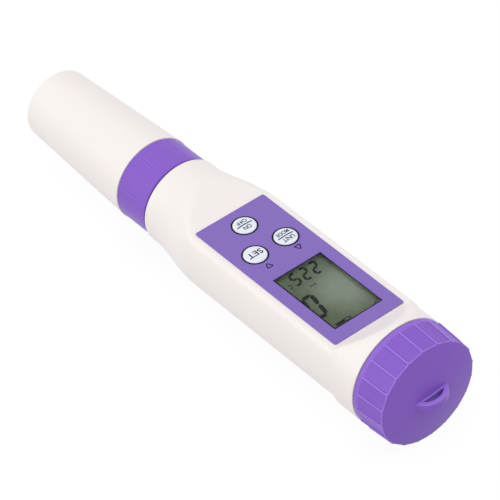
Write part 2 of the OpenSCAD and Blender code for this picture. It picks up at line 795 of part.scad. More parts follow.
// Collar nut that pulls the electrode into the neck
module locking_collar() {
    bore = thread_r + run_gap;
    lip_r = spigot_r + loose_gap;
    edge = 0.3;
    color(violet_abs) difference() {
        turned() polygon([
            [lip_r, collar_s], [collar_r - edge, collar_s], [collar_r, collar_s + edge],
            [collar_r, collar_end - edge], [collar_r - edge, collar_end], [bore, collar_end],
            [bore, collar_s + lip_l], [lip_r, collar_s + lip_l]]);
        for (i = [0:groove_n - 1]) rotate([360 * (i + 0.5) / groove_n, 0, 0])
            block([collar_s + groove_front, collar_end - groove_rear], [-groove_w / 2, groove_w / 2],
                [collar_r - groove_d, collar_r + over]);
    }
}

// Tapered cap over the probe
module probe_cap() {
    taper = (cap_mouth_r - cap_end_r) / cap_l;
    mouth_s = cap_l - cap_bore_l;
    step_run = 1.5;
    lean = atan(taper);
    edge = cap_edge_r;
    centre = [cap_end_r + taper * edge - edge, edge];
    color(white_abs) turned() polygon(concat(
        [[0, 0]], arc(centre, edge, -90, -lean, 6),
        [[cap_mouth_r, cap_l], [cap_bore_r, cap_l], [cap_bore_r, mouth_s],
         [cap_end_r + taper * mouth_s - cap_wall, mouth_s - step_run],
         [cap_end_r + taper * cap_wall - cap_wall, cap_wall],
         [0, cap_wall]]));
}

// Flat ring in the battery cap that seals on the end of the rear neck
module battery_seal() {
    color(rubber_black) turned() translate([rear_bore_r, rear_thread_end + seat_gap])
        square([rear_thread_r - rear_bore_r, lid_wall_s - rear_thread_end - 2 * seat_gap]);
}

// Half disc for the lanyard, as an outline in [station, y]
tab_r = (pow(tab_w / 2, 2) + pow(tab_out, 2)) / (2 * tab_out);
tab_mid_s = pen_l - tab_r;
tab_root = 0.8;
tab_hole_lift = 0.45;
module lanyard_tab() {
    hole_s = dome_s + tab_hole_lift;
    translate([0, 0, -tab_t / 2]) linear_extrude(tab_t) difference() {
        intersection() {
            translate([tab_mid_s, 0]) circle(r = tab_r, $fn = 64);
            translate([dome_s - tab_root, -tab_w]) square([tab_out + tab_root + over, 2 * tab_w]);
        }
        intersection() {
            translate([tab_mid_s, 0]) circle(r = tab_r - tab_rim, $fn = 64);
            translate([hole_s, -tab_w]) square([tab_out, 2 * tab_w]);
        }
    }
}

// Tapered grip of the battery cap: flat facets with a rib along each corner, run on past the end
rib_lead = 1;
grip_l = dome_s + over - facets_s;
module faceted_grip() {
    corners = [for (i = [0:facet_n - 1]) facet_r * [cos(360 * i / facet_n), sin(360 * i / facet_n)]];
    translate([facets_s, 0, 0]) {
        rotate([0, 90, 0])
            linear_extrude(grip_l, scale = 1 - grip_l * tan(lid_taper) / facet_r) polygon(corners);
        for (i = [0:facet_n - 1]) rotate([360 * i / facet_n, 0, 0])
            translate([0, 0, rib_ring_r]) rotate([0, lid_taper, 0])
                rod(-rib_lead, rib_lead + grip_l, rib_r);
    }
}

// What the end of the battery cap is cut to: a shallow dome with a bevel at 45 degrees round its edge
lid_edge_r = rib_ring_r + rib_r - (lid_end - facets_s) * tan(lid_taper);
dome_r = (pow(lid_edge_r, 2) + pow(dome_rise, 2)) / (2 * dome_rise);
dome_steps = 12;
module domed_end() {
    inner_r = lid_edge_r - lid_bevel;
    crown = arc([0, dome_s - dome_r], dome_r, acos(inner_r / dome_r), 90, dome_steps);
    cone_l = crown[0][1] - lid_s + over;
    turned() polygon(concat([[0, lid_s - over], [inner_r + cone_l, lid_s - over]], crown));
}

// Battery cap: plain band, tapered grip, domed end and lanyard tab, as it stands when screwed home
module battery_cap() {
    bore = rear_thread_r + run_gap;
    color(violet_abs) difference() {
        rotate([lid_angle, 0, 0]) {
            intersection() {
                union() {
                    rod(lid_s, lid_band_l + fit_gap, lid_band_r);
                    faceted_grip();
                }
                domed_end();
            }
            lanyard_tab();
        }
        rod(lid_s - over, lid_wall_s - lid_s + over, bore);
    }
}

module contact_disc() {
    color(brass_tone) rod(disc_s, contact_t, rear_bore_r - 2 * seat_gap);
}

place() housing();
place() label_overlay();
place() display_window();
place() lcd_panel();
place() lcd_frame();
place() zebra_strips();
place() main_board();
place() controller_chip();
place() amplifier_chip();
place() switch_box(power_s, 0);  // power_switch
place() switch_box(pair_s, pair_half);  // mode_switch
place() switch_box(pair_s, -pair_half);  // set_switch
place() board_screws();
place() chassis();
place() inner_contact();
place() battery_spring();
for (i = [1:cell_n])
    place() battery_cell(i);
place() return_strip();
place() probe_socket();
place() socket_contacts();
place() electrode_holder();
place() plug_pins();
place() plug_seal();
place() cap_seal();
place() probe_guard();
place() glass_electrode();
place() inner_wire();
place() reference_junction();
place() temperature_pin();
place() locking_collar();
place() probe_cap();
place() battery_seal();
place() battery_cap();
place() contact_disc();
place() button(power_s, 0);  // power_button
place() plunger(power_s, 0);  // power_plunger
place() button(pair_s, pair_half);  // mode_button
place() plunger(pair_s, pair_half);  // mode_plunger
place() button(pair_s, -pair_half);  // set_button
place() plunger(pair_s, -pair_half);  // set_plunger
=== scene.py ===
"""Looks of a water test pen: a screw-in electrode under a pull-off cap, a meter body with display and keys,
and a screw battery cap. Shapes are worked out in pen millimetres: along the pen from the closed end of the
probe cap, across it, and above its axis."""
import json

import bpy
import numpy as np
from mathutils import Matrix, Vector

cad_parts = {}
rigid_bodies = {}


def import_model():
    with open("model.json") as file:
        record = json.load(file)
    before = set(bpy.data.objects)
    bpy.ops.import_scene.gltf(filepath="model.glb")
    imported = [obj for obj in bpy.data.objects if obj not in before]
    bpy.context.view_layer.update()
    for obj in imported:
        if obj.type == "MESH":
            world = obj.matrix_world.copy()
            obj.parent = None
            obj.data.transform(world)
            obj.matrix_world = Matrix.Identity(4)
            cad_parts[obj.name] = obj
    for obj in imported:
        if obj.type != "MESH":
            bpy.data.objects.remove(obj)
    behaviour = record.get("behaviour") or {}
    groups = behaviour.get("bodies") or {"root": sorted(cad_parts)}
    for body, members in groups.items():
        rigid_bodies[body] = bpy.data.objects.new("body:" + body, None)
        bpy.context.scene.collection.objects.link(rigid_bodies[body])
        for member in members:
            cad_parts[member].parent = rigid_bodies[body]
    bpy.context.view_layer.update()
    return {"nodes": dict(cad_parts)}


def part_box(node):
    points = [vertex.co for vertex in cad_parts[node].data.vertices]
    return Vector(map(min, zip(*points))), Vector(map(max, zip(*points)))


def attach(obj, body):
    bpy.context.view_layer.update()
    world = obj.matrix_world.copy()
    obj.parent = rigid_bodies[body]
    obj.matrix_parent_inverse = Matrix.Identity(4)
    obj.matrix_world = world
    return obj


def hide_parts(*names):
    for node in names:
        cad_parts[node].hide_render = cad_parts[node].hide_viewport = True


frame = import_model()


# Meter body: one injection-moulded shell of white ABS. A round neck flares into a grip with a flat face, and
# a ramp rises to a round rear band. A screw neck stands at each end, and the flat is open for the display
# window and the three keys.
MM = 0.001
WALL = 2.0
FLAT_BLEND = 1.6
NECK_R = 15.2
GRIP_HALF_W = 18.65
BELLY_FRONT = 16.7
BELLY_REAR = 15.8
BROW_H = 21.0
REAR_R = 18.7
ORIGIN = np.array([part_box("probe_cap")[0].x, 0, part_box("housing")[0].z + REAR_R * MM])
FRONT_RAMP = np.radians(25.4)
REAR_RAMP = np.radians(37)
THREAD_PITCH = 2.0
THREAD_DEPTH = 0.55
THREAD_FLATNESS = 2.2
THREAD_ROWS = 44
FRONT_THREAD_R = 12.65
FRONT_ROOT_R = FRONT_THREAD_R - THREAD_DEPTH
REAR_THREAD_R = 15.65
REAR_ROOT_R = REAR_THREAD_R - THREAD_DEPTH
PLUG_BORE_R = 9.9
REAR_BORE_R = 14.1
BORE_ROUND = 0.3
EDGE_ROUND = 0.35


def extent(node_name):
    """Lowest and highest corner of a CAD node, in pen millimetres."""
    return (np.array(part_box(node_name)) - ORIGIN) / MM


(THREAD_S, _, _), (REAR_THREAD_END, _, _) = extent("housing")
(LABEL_S, _, FLAT_H), (LABEL_END, _, LABEL_TOP) = extent("label_overlay")
BODY_S = THREAD_S + 10
BODY_END = REAR_THREAD_END - 9
FLARE_S = BODY_S + 2.8
FLARE_END = FLARE_S + 23
BROW_END = FLARE_END + 1
BROW_L = 5.0
FLAT_END = LABEL_END + 0.7
BAND_S = BODY_END - 8.9
STEP_S = BAND_S - 2.6
CAVITY_S = BODY_S + 8.8
BORE_S = FLAT_END + (REAR_BORE_R + WALL - FLAT_H) / np.tan(REAR_RAMP)
CEILING = FLAT_H - WALL


def mix(a, b, u):
    """The value that lies the share u of the way from a to b."""
    return a + (b - a) * u


def ease(a, b, s):
    """Smooth step: 0 before a, 1 after b, and 3u^2 - 2u^3 between them."""
    u = np.clip((s - a) / (b - a), 0, 1)
    return u * u * (3 - 2 * u)


def soft_min(a, b, k):
    """The lower of a and b, less (k - |a - b|)^2 / 4k where they are closer than k, which rounds the
    corner."""
    return np.minimum(a, b) - np.maximum(k - np.abs(a - b), 0) ** 2 / (4 * k)


CLOSEST = 1e-4


def rounded(corners, trim, steps=5):
    """Outline through corners, each replaced by a parabola that starts and ends the length trim from it.
    The first and last corner stay as they are, and points that fall together are merged."""
    corners = np.array(corners, float)
    trim = np.broadcast_to(trim, len(corners) - 2)[:, None, None]
    middle = corners[1:-1, None]
    to_last = corners[:-2, None] - middle
    to_next = corners[2:, None] - middle
    enter = middle + trim * to_last / np.linalg.norm(to_last, axis=2, keepdims=True)
    leave = middle + trim * to_next / np.linalg.norm(to_next, axis=2, keepdims=True)
    u = np.linspace(0, 1, steps)[None, :, None]
    curves = (1 - u) ** 2 * enter + 2 * u * (1 - u) * middle + u ** 2 * leave
    points = np.concatenate([corners[:1], curves.reshape(-1, 2), corners[-1:]])
    far_apart = np.linalg.norm(np.diff(points, axis=0), axis=1) > CLOSEST
    return points[np.concatenate([[True], far_apart])]


def around(count):
    """Count equal angles round a full turn, from 0."""
    return np.linspace(0, 2 * np.pi, count, endpoint=False)


def arc(middle, r, angle):
    """Points on a circle: the middle plus r times the cosine and the sine of each angle."""
    return middle + r * np.stack([np.cos(angle), np.sin(angle)], axis=1)


def turned(outline, angle, rise=0):
    """Surface of an outline of [station, radius] points carried round the pen's axis; rise is added to the
    radius."""
    s, r = np.transpose(outline)[:, :, None]
    r = r + rise
    return np.stack(np.broadcast_arrays(s, r * np.cos(angle), r * np.sin(angle)), axis=-1)


def thread_ridge(s, angle):
    """Share of the thread's full height: a flat-topped wave along the axis that moves on one pitch for each
    turn, so the ridge is a right-hand helix."""
    return 0.5 + 0.5 * np.tanh(THREAD_FLATNESS * np.sin(2 * np.pi * s / THREAD_PITCH - angle))


def screw(start, end, crest_r, angle):
    """Surface of an outer thread: the root radius plus the ridge, which fades out at both ends."""
    s = np.linspace(start, end, THREAD_ROWS)
    along = s[:, None]
    fade = ease(start, start + THREAD_PITCH, along) * (1 - ease(end - THREAD_PITCH / 2, end, along))
    outline = np.stack([s, np.full(THREAD_ROWS, crest_r - THREAD_DEPTH)], axis=1)
    return turned(outline, angle, THREAD_DEPTH * fade * thread_ridge(along, angle))


def body_section(s, angle, inset=0):
    """Surface of the body at stations s: the half width times the cosine across, and upwards the brow or the
    belly times the sine, cut off by the flat with a rounded corner."""
    s = s[:, None]
    grip = ease(FLARE_S, FLARE_END, s)
    band = ease(STEP_S, BAND_S, s)
    side = mix(NECK_R, GRIP_HALF_W, grip)
    belly = mix(BELLY_FRONT, BELLY_REAR, (s - FLARE_END) / (STEP_S - FLARE_END))
    belly = mix(mix(NECK_R, belly, grip), REAR_R, band)
    brow = mix(mix(side, BROW_H, ease(BROW_END - BROW_L, BROW_END, s)), REAR_R, band)
    front_rise = np.maximum(LABEL_S - s, 0) * np.tan(FRONT_RAMP)
    rear_rise = np.maximum(s - FLAT_END, 0) * np.tan(REAR_RAMP)
    flat = FLAT_H + front_rise + rear_rise
    up = np.where(np.sin(angle) > 0, brow, belly)
    across = (mix(side, REAR_R, band) - inset) * np.cos(angle)
    height = soft_min((up - inset) * np.sin(angle), flat - inset, FLAT_BLEND)
    return np.stack(np.broadcast_arrays(s, across, height), axis=-1)


CREASE = 35
TINY = 1e-6


def smooth(mesh, sharp):
    """Smooth shading, with a crease where two faces meet at more than the angle sharp, in degrees."""
    mesh.shade_smooth()
    mesh.set_sharp_from_angle(angle=np.radians(sharp))


def skin(name, grid, ring=False, sharp=CREASE, edge=None):
    """Mesh of a grid of pen points whose columns close round. A row that is one repeated point becomes a
    pole, and ring joins the last row to the first. The sign of the enclosed volume turns the faces outwards.
    The share of painted highlight at each point, if given, is kept as the attribute edge."""
    rows, columns = grid.shape[:2]
    index = np.arange(rows * columns).reshape(rows, columns)
    poles = np.ptp(grid, axis=1).max(axis=1) < TINY
    index[poles] = index[poles, :1]
    lower = index if ring else index[:-1]
    upper = np.roll(index, -1, axis=0) if ring else index[1:]
    faces = np.stack([lower, np.roll(lower, -1, 1), np.roll(upper, -1, 1), upper], axis=-1).reshape(-1, 4)
    points = grid.reshape(-1, 3)
    a, b, c, d = (points[faces[:, i]] for i in range(4))
    volume = (a * (np.cross(b, c) + np.cross(c, d))).sum()
    if volume < 0:
        faces = faces[:, ::-1]
    used, faces = np.unique(faces, return_inverse=True)
    faces = faces.reshape(-1, 4)
    first_pole = faces[:, 0] == faces[:, 1]
    last_pole = faces[:, 2] == faces[:, 3]
    polygons = faces[~(first_pole | last_pole)].tolist()
    polygons += faces[first_pole][:, [1, 2, 3]].tolist()
    polygons += faces[last_pole][:, [0, 1, 2]].tolist()
    mesh = bpy.data.meshes.new(name)
    mesh.from_pydata((points[used] * MM + ORIGIN).tolist(), [], polygons)
    smooth(mesh, sharp)
    if edge is not None:
        # Shares of painted highlight go on the mesh as the attribute edge
        highlight_layer = mesh.attributes.new("edge", "FLOAT", "POINT")
        highlight_layer.data.foreach_set("value", np.ascontiguousarray(edge.reshape(-1)[used], dtype=np.float32))
    return mesh


def placed(name, data):
    """Object of a mesh, a text, a lamp or a camera, linked to the scene."""
    made = bpy.data.objects.new(name, data)
    bpy.context.scene.collection.objects.link(made)
    return made


def piece(mesh, body, slot, finish, *replaced):
    """Object of a mesh, under the mesh's name. It rides on a body, wears a finish and stands for the CAD
    nodes it replaces."""
    made = placed(mesh.name, mesh)
    mesh.materials.clear()
    mesh.materials.append(finish)
    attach(made, body)
    if replaced:
        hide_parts(*replaced)


def oblong(s, end, near, far):
    """Corners of an oblong that reaches from station s to end, and across the pen from near to far."""
    return [[s, near], [end, near], [end, far], [s, far]]


def prism(name, outlines, z0, z1):
    """Mesh of upright prisms: outlines is an array of closed outlines with the same number of points, each
    in [station, across], and every one stands from height z0 to z1."""
    outlines = np.array(outlines, float)
    count, corners = outlines.shape[:2]
    after = np.roll(outlines, -1, axis=1)
    area = (outlines[:, :, 0] * after[:, :, 1] - outlines[:, :, 1] * after[:, :, 0]).sum(axis=1)
    outlines[area < 0] = outlines[area < 0, ::-1]
    heights = np.broadcast_to(np.array([z0, z1])[None, :, None, None], (count, 2, corners, 1))
    flat = np.broadcast_to(outlines[:, None], (count, 2, corners, 2))
    points = np.concatenate([flat, heights], axis=3).reshape(-1, 3)
    index = np.arange(count * 2 * corners).reshape(count, 2, corners)
    base, top = index[:, 0], index[:, 1]
    sides = np.stack([base, np.roll(base, -1, 1), np.roll(top, -1, 1), top], axis=-1).reshape(-1, 4)
    polygons = base[:, ::-1].tolist() + top.tolist() + sides.tolist()
    mesh = bpy.data.meshes.new(name)
    mesh.from_pydata((points * MM + ORIGIN).tolist(), [], polygons)
    return mesh


def final_mesh(holder):
    """Mesh of an object with its modifiers applied, or of a text's letters. It takes over the name of the
    object, which goes, with its data."""
    name, data = holder.name, holder.data
    mesh = bpy.data.meshes.new_from_object(holder.evaluated_get(bpy.context.evaluated_depsgraph_get()))
    bpy.data.batch_remove([holder, data])
    mesh.name = name
    return mesh


def cut(mesh, cutter):
    """Mesh with the cutter's volume taken out of it by an exact Boolean."""
    body, tool = placed(mesh.name, mesh), placed("cutter", cutter)
    boolean = body.modifiers.new("holes", "BOOLEAN")
    boolean.object = tool
    boolean.solver = "EXACT"
    result = final_mesh(body)
    bpy.data.batch_remove([tool, cutter])
    smooth(result, CREASE)
    return result


def linear(colour):
    """Linear RGBA of an sRGB hex colour: c / 12.92 up to 0.04045, and ((c + 0.055) / 1.055) ^ 2.4 above
    it."""
    c = np.array([int(colour[i:i + 2], 16) for i in (1, 3, 5)]) / 255
    return (*np.where(c <= 0.04045, c / 12.92, ((c + 0.055) / 1.055) ** 2.4), 1.0)


def new_finish(name):
    """An empty material, and its node tree."""
    made = bpy.data.materials.new(name)
    made.use_nodes = True
    made.node_tree.nodes.clear()
    return made, made.node_tree


def node(tree, kind, inputs=None, **settings):
    """Adds one shader node. Settings are its properties, and inputs its sockets: a value, or an output to
    link."""
    made = tree.nodes.new(kind)
    for key, value in settings.items():
        setattr(made, key, value)
    for key, value in (inputs or {}).items():
        if isinstance(value, bpy.types.NodeSocket):
            tree.links.new(value, made.inputs[key])
        else:
            made.inputs[key].default_value = value
    return made


def moulded_plastic(name, colour, flow, roughness, grain=0.06, highlight_colour=None, shine=0.5):
    """Moulded plastic, or a moulded epoxy or ceramic: a clean satin skin. The melt's flow tints it faintly
    over some 25 mm, and the mould's eroded texture breaks up the gloss; its 0.1 mm grain is drawn at 0.7 mm
    so that it shows. Where the attribute edge is high, the colour turns towards a painted highlight."""
    made, tree = new_finish(name)
    place = node(tree, "ShaderNodeTexCoord").outputs["Object"]
    cloud = node(tree, "ShaderNodeTexNoise", {"Vector": place, "Scale": 1 / (25 * MM), "Detail": 2.0})
    pits = node(tree, "ShaderNodeTexNoise", {"Vector": place, "Scale": 1 / (0.7 * MM), "Detail": 1.0})
    tint = node(tree, "ShaderNodeMix", {
        "Factor": cloud.outputs["Fac"], 6: linear(colour), 7: linear(flow)}, data_type="RGBA")
    # Painted highlight: the colour turns lighter where the attribute edge is high
    if highlight_colour:
        highlight_layer = node(tree, "ShaderNodeAttribute", attribute_name="edge")
        tint = node(tree, "ShaderNodeMix", {
            "Factor": highlight_layer.outputs["Fac"], 6: tint.outputs[2], 7: linear(highlight_colour)}, data_type="RGBA")
    gloss = node(tree, "ShaderNodeMapRange", {
        "Value": pits.outputs["Fac"], "From Min": 0.3, "From Max": 0.7,
        "To Min": roughness - 0.04, "To Max": roughness + 0.04})
    bump = node(tree, "ShaderNodeBump", {
        "Height": pits.outputs["Fac"], "Strength": grain, "Distance": 0.05 * MM})
    surface = node(tree, "ShaderNodeBsdfPrincipled", {
        "Base Color": tint.outputs[2], "Roughness": gloss.outputs["Result"], "IOR": 1.53,
        "Specular IOR Level": shine, "Normal": bump.outputs["Normal"]})
    node(tree, "ShaderNodeOutputMaterial", {"Surface": surface.outputs["BSDF"]})
    return made


white_abs = moulded_plastic("white_abs_moulded", "#f3edea", "#efe8e5", 0.38)
body_angle = around(256)
front_bore = rounded(
    [[CAVITY_S, PLUG_BORE_R], [THREAD_S, PLUG_BORE_R], [THREAD_S, FRONT_ROOT_R]], BORE_ROUND)
front_shoulder = rounded([[BODY_S, FRONT_ROOT_R], [BODY_S, NECK_R], [BODY_S + 0.6, NECK_R]], EDGE_ROUND)
rear_edge_s, rear_edge_in = rounded([[BODY_END - 0.6, 0], [BODY_END, 0], [BODY_END, 1]], EDGE_ROUND).T
rear_bore = rounded(
    [[REAR_THREAD_END, REAR_ROOT_R], [REAR_THREAD_END, REAR_BORE_R], [BORE_S, REAR_BORE_R]], BORE_ROUND)
skin_s = np.concatenate([
    np.linspace(BODY_S + 0.8, LABEL_S - 0.1, 56), np.linspace(LABEL_S + 0.1, FLAT_END - 0.6, 22),
    np.linspace(FLAT_END - 0.15, BODY_END - 0.8, 34)])
cavity_s = np.linspace(BORE_S, CAVITY_S, 18)
housing_grid = np.concatenate([
    turned(front_bore[:-1], body_angle), screw(THREAD_S, BODY_S, FRONT_THREAD_R, body_angle),
    turned(front_shoulder[1:], body_angle), body_section(skin_s, body_angle),
    body_section(rear_edge_s, body_angle, rear_edge_in[:, None]),
    screw(BODY_END, REAR_THREAD_END, REAR_THREAD_R, body_angle),
    turned(rear_bore[1:], body_angle), body_section(cavity_s, body_angle, WALL)])
(window_s, window_y, _), (window_end, window_far, window_top) = extent("display_window")
window_room = 0.05
hole_base, hole_top = CEILING - 1, FLAT_H + 1
window_hole = prism("window_hole", [oblong(
    window_s - window_room, window_end + window_room, window_y - window_room, window_far + window_room)],
    hole_base, hole_top)
KEYS = ("power", "mode", "set")
KEY_SPOTS = {key: extent(key + "_button").mean(axis=0)[:2] for key in KEYS}
KEY_R = 3.8
KEY_GAP = 0.3
key_angle = around(96)
key_holes = prism("key_holes", [arc(KEY_SPOTS[key], KEY_R + KEY_GAP, key_angle) for key in KEYS],
                  hole_base, hole_top)
housing_mesh = cut(cut(skin("housing_skin", housing_grid, ring=True), window_hole), key_holes)
piece(housing_mesh, "meter_body", "white_abs", white_abs, "housing")


# Inside of the meter: a green glass-epoxy board with chips and push switches, on a grey moulded chassis that
# also holds the battery tube. Nothing of it shows while the pen is closed, so the CAD solids stay and only
# get their finishes.
def paint(finish, *node_names):
    """CAD nodes keep their solids and wear a finish."""
    for node_name in node_names:
        for held in frame["nodes"][node_name].material_slots:
            held.material = finish


def plated_metal(name, colour, roughness, drawn):
    """Drawn or stamped metal with a thin plating: fine lines along the pen, drawn times as long as wide,
    vary the gloss. They are set 0.3 mm apart so that they show."""
    made, tree = new_finish(name)
    place = node(tree, "ShaderNodeTexCoord").outputs["Object"]
    stretched = node(tree, "ShaderNodeMapping", {"Vector": place, "Scale": (1 / drawn, 1, 1)})
    lines = node(tree, "ShaderNodeTexNoise", {
        "Vector": stretched.outputs["Vector"], "Scale": 1 / (0.3 * MM), "Detail": 2.0})
    gloss = node(tree, "ShaderNodeMapRange", {
        "Value": lines.outputs["Fac"], "From Min": 0.3, "From Max": 0.7,
        "To Min": roughness - 0.08, "To Max": roughness + 0.08})
    surface = node(tree, "ShaderNodeBsdfPrincipled", {
        "Base Color": linear(colour), "Metallic": 1.0, "Roughness": gloss.outputs["Result"]})
    node(tree, "ShaderNodeOutputMaterial", {"Surface": surface.outputs["BSDF"]})
    return made


def rubber(name, colour, bloom_colour, cloud=3, detail=3.0, roughness=0.6, ior=1.52, shine=0.5):
    """Moulded rubber or silicone: dull, with a bloom of talc or filler that tints it in clouds about cloud
    millimetres wide."""
    made, tree = new_finish(name)
    place = node(tree, "ShaderNodeTexCoord").outputs["Object"]
    bloom = node(tree, "ShaderNodeTexNoise", {"Vector": place, "Scale": 1 / (cloud * MM), "Detail": detail})
    tint = node(tree, "ShaderNodeMix", {
        "Factor": bloom.outputs["Fac"], 6: linear(colour), 7: linear(bloom_colour)}, data_type="RGBA")
    surface = node(tree, "ShaderNodeBsdfPrincipled", {
        "Base Color": tint.outputs[2], "Roughness": roughness, "IOR": ior, "Specular IOR Level": shine})
    node(tree, "ShaderNodeOutputMaterial", {"Surface": surface.outputs["BSDF"]})
    return made


def solder_mask(name):
    """Green solder mask over glass epoxy: a thin gloss coat, with copper tracks that show as lighter bands
    2.5 mm wide. A wave's half period is pi / 20 of its unit."""
    made, tree = new_finish(name)
    place = node(tree, "ShaderNodeTexCoord").outputs["Object"]
    tracks = node(tree, "ShaderNodeTexWave", {
        "Vector": place, "Scale": np.pi / 20 / (2.5 * MM), "Distortion": 2.0, "Detail": 1.0},
        bands_direction="Y")
    tint = node(tree, "ShaderNodeMix", {
        "Factor": tracks.outputs["Fac"], 6: linear("#1f6b3d"), 7: linear("#348852")}, data_type="RGBA")
    surface = node(tree, "ShaderNodeBsdfPrincipled", {
        "Base Color": tint.outputs[2], "Roughness": 0.35, "IOR": 1.5})
    node(tree, "ShaderNodeOutputMaterial", {"Surface": surface.outputs["BSDF"]})
    return made


inner_plastic = moulded_plastic("grey_abs_moulded", "#c9cbce", "#bfc1c5", 0.5)
chip_epoxy = moulded_plastic("black_epoxy_moulded", "#2b2c30", "#26272a", 0.55)
brass = plated_metal("brass_plated", "#c9a95a", roughness=0.3, drawn=8)
nickel = plated_metal("nickel_plated_steel", "#b9bec4", roughness=0.28, drawn=8)
seal_rubber = rubber("rubber_black", "#232326", "#3a3a3d")
paint(inner_plastic, "chassis", "lcd_frame")
paint(solder_mask("solder_mask_green"), "main_board")
paint(chip_epoxy, "controller_chip", "amplifier_chip", "power_switch", "mode_switch", "set_switch",
      "probe_socket")
paint(brass, "inner_contact", "return_strip", "socket_contacts", "plug_pins", "contact_disc",
      "power_plunger", "mode_plunger", "set_plunger")
paint(nickel, "board_screws", "battery_spring", "battery_cell_1", "battery_cell_2", "battery_cell_3",
      "battery_cell_4")
paint(seal_rubber, "zebra_strips", "plug_seal", "battery_seal")


# Display: a reflective liquid crystal glass, grey green, paler round a spot on one side and darker away from
# it: a painted pool of light. Its dark marks are segments of the crystal: a temperature with one decimal, a
# large nought, a battery sign, a small frame in a corner and a faint unit.
(lcd_s, _, _), (lcd_end, _, lcd_top) = extent("lcd_panel")
SEGMENT_LEAN = 0.17
SEGMENT_SLIT = 0.06
# Ends of the seven segments of a digit one wide and one high: top, upper right, lower right, bottom, lower
# left, upper left, middle
SEGMENT_ENDS = np.array([
    [[0, 1], [1, 1]], [[1, 1], [1, 0.5]], [[1, 0.5], [1, 0]], [[0, 0], [1, 0]], [[0, 0.5], [0, 0]],
    [[0, 1], [0, 0.5]], [[0, 0.5], [1, 0.5]]])
DIGIT_SEGMENTS = {"0": [0, 1, 2, 3, 4, 5], "2": [0, 1, 6, 4, 3], "5": [0, 5, 6, 2, 3], "C": [0, 5, 4, 3]}


def bars(ends, width):
    """Outlines of bars with pointed ends, one for each pair of end points, in the plane that they lie in."""
    ends = np.array(ends, float)
    along = ends[:, 1] - ends[:, 0]
    along *= width / 2 / np.linalg.norm(along, axis=1, keepdims=True)
    aside = np.stack([-along[:, 1], along[:, 0]], axis=1)
    first, last = ends[:, 0], ends[:, 1]
    return np.stack([first, first + along - aside, last - along - aside, last, last - along + aside,
                     first + along + aside], axis=1)


def reading(points):
    """Points [right, up] of someone who reads the display, as [station, across]: up is towards the battery
    cap, and right is towards -Y."""
    points = np.array(points, float)
    return np.stack([points[..., 1], -points[..., 0]], axis=-1)


def strokes(ends, foot, width):
    """Bars between pairs of reader's points whose heights are given above a foot line."""
    return reading(bars(np.array(ends) + [0, foot], width))


def digit(sign, left, foot, width, height, stroke):
    """Bars of one digit, sheared so that it leans to the right, with a slit between its segments."""
    ends = SEGMENT_ENDS[DIGIT_SEGMENTS[sign]] * [width, height]
    along = ends[:, 1] - ends[:, 0]
    along /= np.linalg.norm(along, axis=1, keepdims=True)
    ends = np.stack([ends[:, 0] + SEGMENT_SLIT * along, ends[:, 1] - SEGMENT_SLIT * along], axis=1)
    outlines = bars(ends, stroke)
    outlines[..., 0] += SEGMENT_LEAN * outlines[..., 1]
    return reading(outlines + [left, foot])


def crystal_glass(name):
    """Liquid crystal glass over a reflector: grey green, paler round a spot towards +Y and darker away from
    it, which is a painted pool of light with painted shade towards the edges."""
    made, tree = new_finish(name)
    place = node(tree, "ShaderNodeTexCoord").outputs["Object"]
    lit_spot_s, lit_spot_y = (lcd_s + lcd_end) / 2 + 1, 6.0
    middle = (np.array([lit_spot_s, lit_spot_y, lcd_top]) * MM + ORIGIN).tolist()
    centred = node(tree, "ShaderNodeVectorMath", {0: place, 1: middle}, operation="SUBTRACT")
    far = node(tree, "ShaderNodeVectorMath", {0: centred.outputs["Vector"]}, operation="LENGTH")
    speckle = node(tree, "ShaderNodeTexNoise", {"Vector": place, "Scale": 1 / (6 * MM), "Detail": 2.0})
    reach = node(tree, "ShaderNodeMath", {
        0: speckle.outputs["Fac"], 1: 6 * MM, 2: far.outputs["Value"]}, operation="MULTIPLY_ADD")
    cloud = node(tree, "ShaderNodeMapRange", {
        "Value": reach.outputs["Value"], "From Min": 5 * MM, "From Max": 18 * MM,
        "To Min": 1.0, "To Max": 0.0}, interpolation_type="SMOOTHSTEP")
    # Painted pool of light round the spot; the darker colour away from it is painted shade
    tint = node(tree, "ShaderNodeMix", {
        "Factor": cloud.outputs["Result"], 6: linear("#5c6953"), 7: linear("#84907f")}, data_type="RGBA")
    surface = node(tree, "ShaderNodeBsdfPrincipled", {
        "Base Color": tint.outputs[2], "Roughness": 0.5, "Specular IOR Level": 0.1})
    node(tree, "ShaderNodeOutputMaterial", {"Surface": surface.outputs["BSDF"]})
    return made


paint(crystal_glass("crystal_glass_grey_green"), "lcd_panel")
mark_film = 0.02
mark_lift = 0.01
small_foot = lcd_s + 1.75
big_foot = small_foot + 10.95
icon_s = big_foot + 15.4
frame_s = lcd_end - 3.4
# Width, height and stroke of each size of digit; the strokes take in each segment's shadow, painted shadow
SMALL_DIGIT = (2.0, 5.1, 0.92)
BIG_DIGIT = (3.6, 9.7, 1.45)
DEGREE_C = (1.2, 1.5, 0.45)
decimal_point = [[[0.55, 0.2], [1.1, 0.2]]]
degree_sign = [[[4.4, 4.9], [4.9, 4.9]]]
battery_charge = [[[3.4, 0], [7.2, 0]]]
battery_case = [[[1.6, -0.5], [7.4, -0.5]], [[1.6, 0.5], [7.4, 0.5]], [[1.7, -0.5], [1.7, 0.5]],
                [[1.2, -0.25], [1.2, 0.25]]]
corner_frame = [[[-8.9, 0], [-8.0, 0]], [[-8.0, 0], [-8.0, 1.0]], [[-8.9, 1.0], [-8.0, 1.0]]]
unit_sign = [[[-0.2, -3.6], [-0.2, -2.4]], [[-0.2, -2.4], [0.5, -2.4]], [[0.5, -2.4], [0.5, -3.0]],
             [[-0.2, -3.0], [0.5, -3.0]], [[1.1, -3.4], [1.1, -2.2]], [[1.8, -3.4], [1.8, -2.2]],
             [[1.1, -2.8], [1.8, -2.8]]]
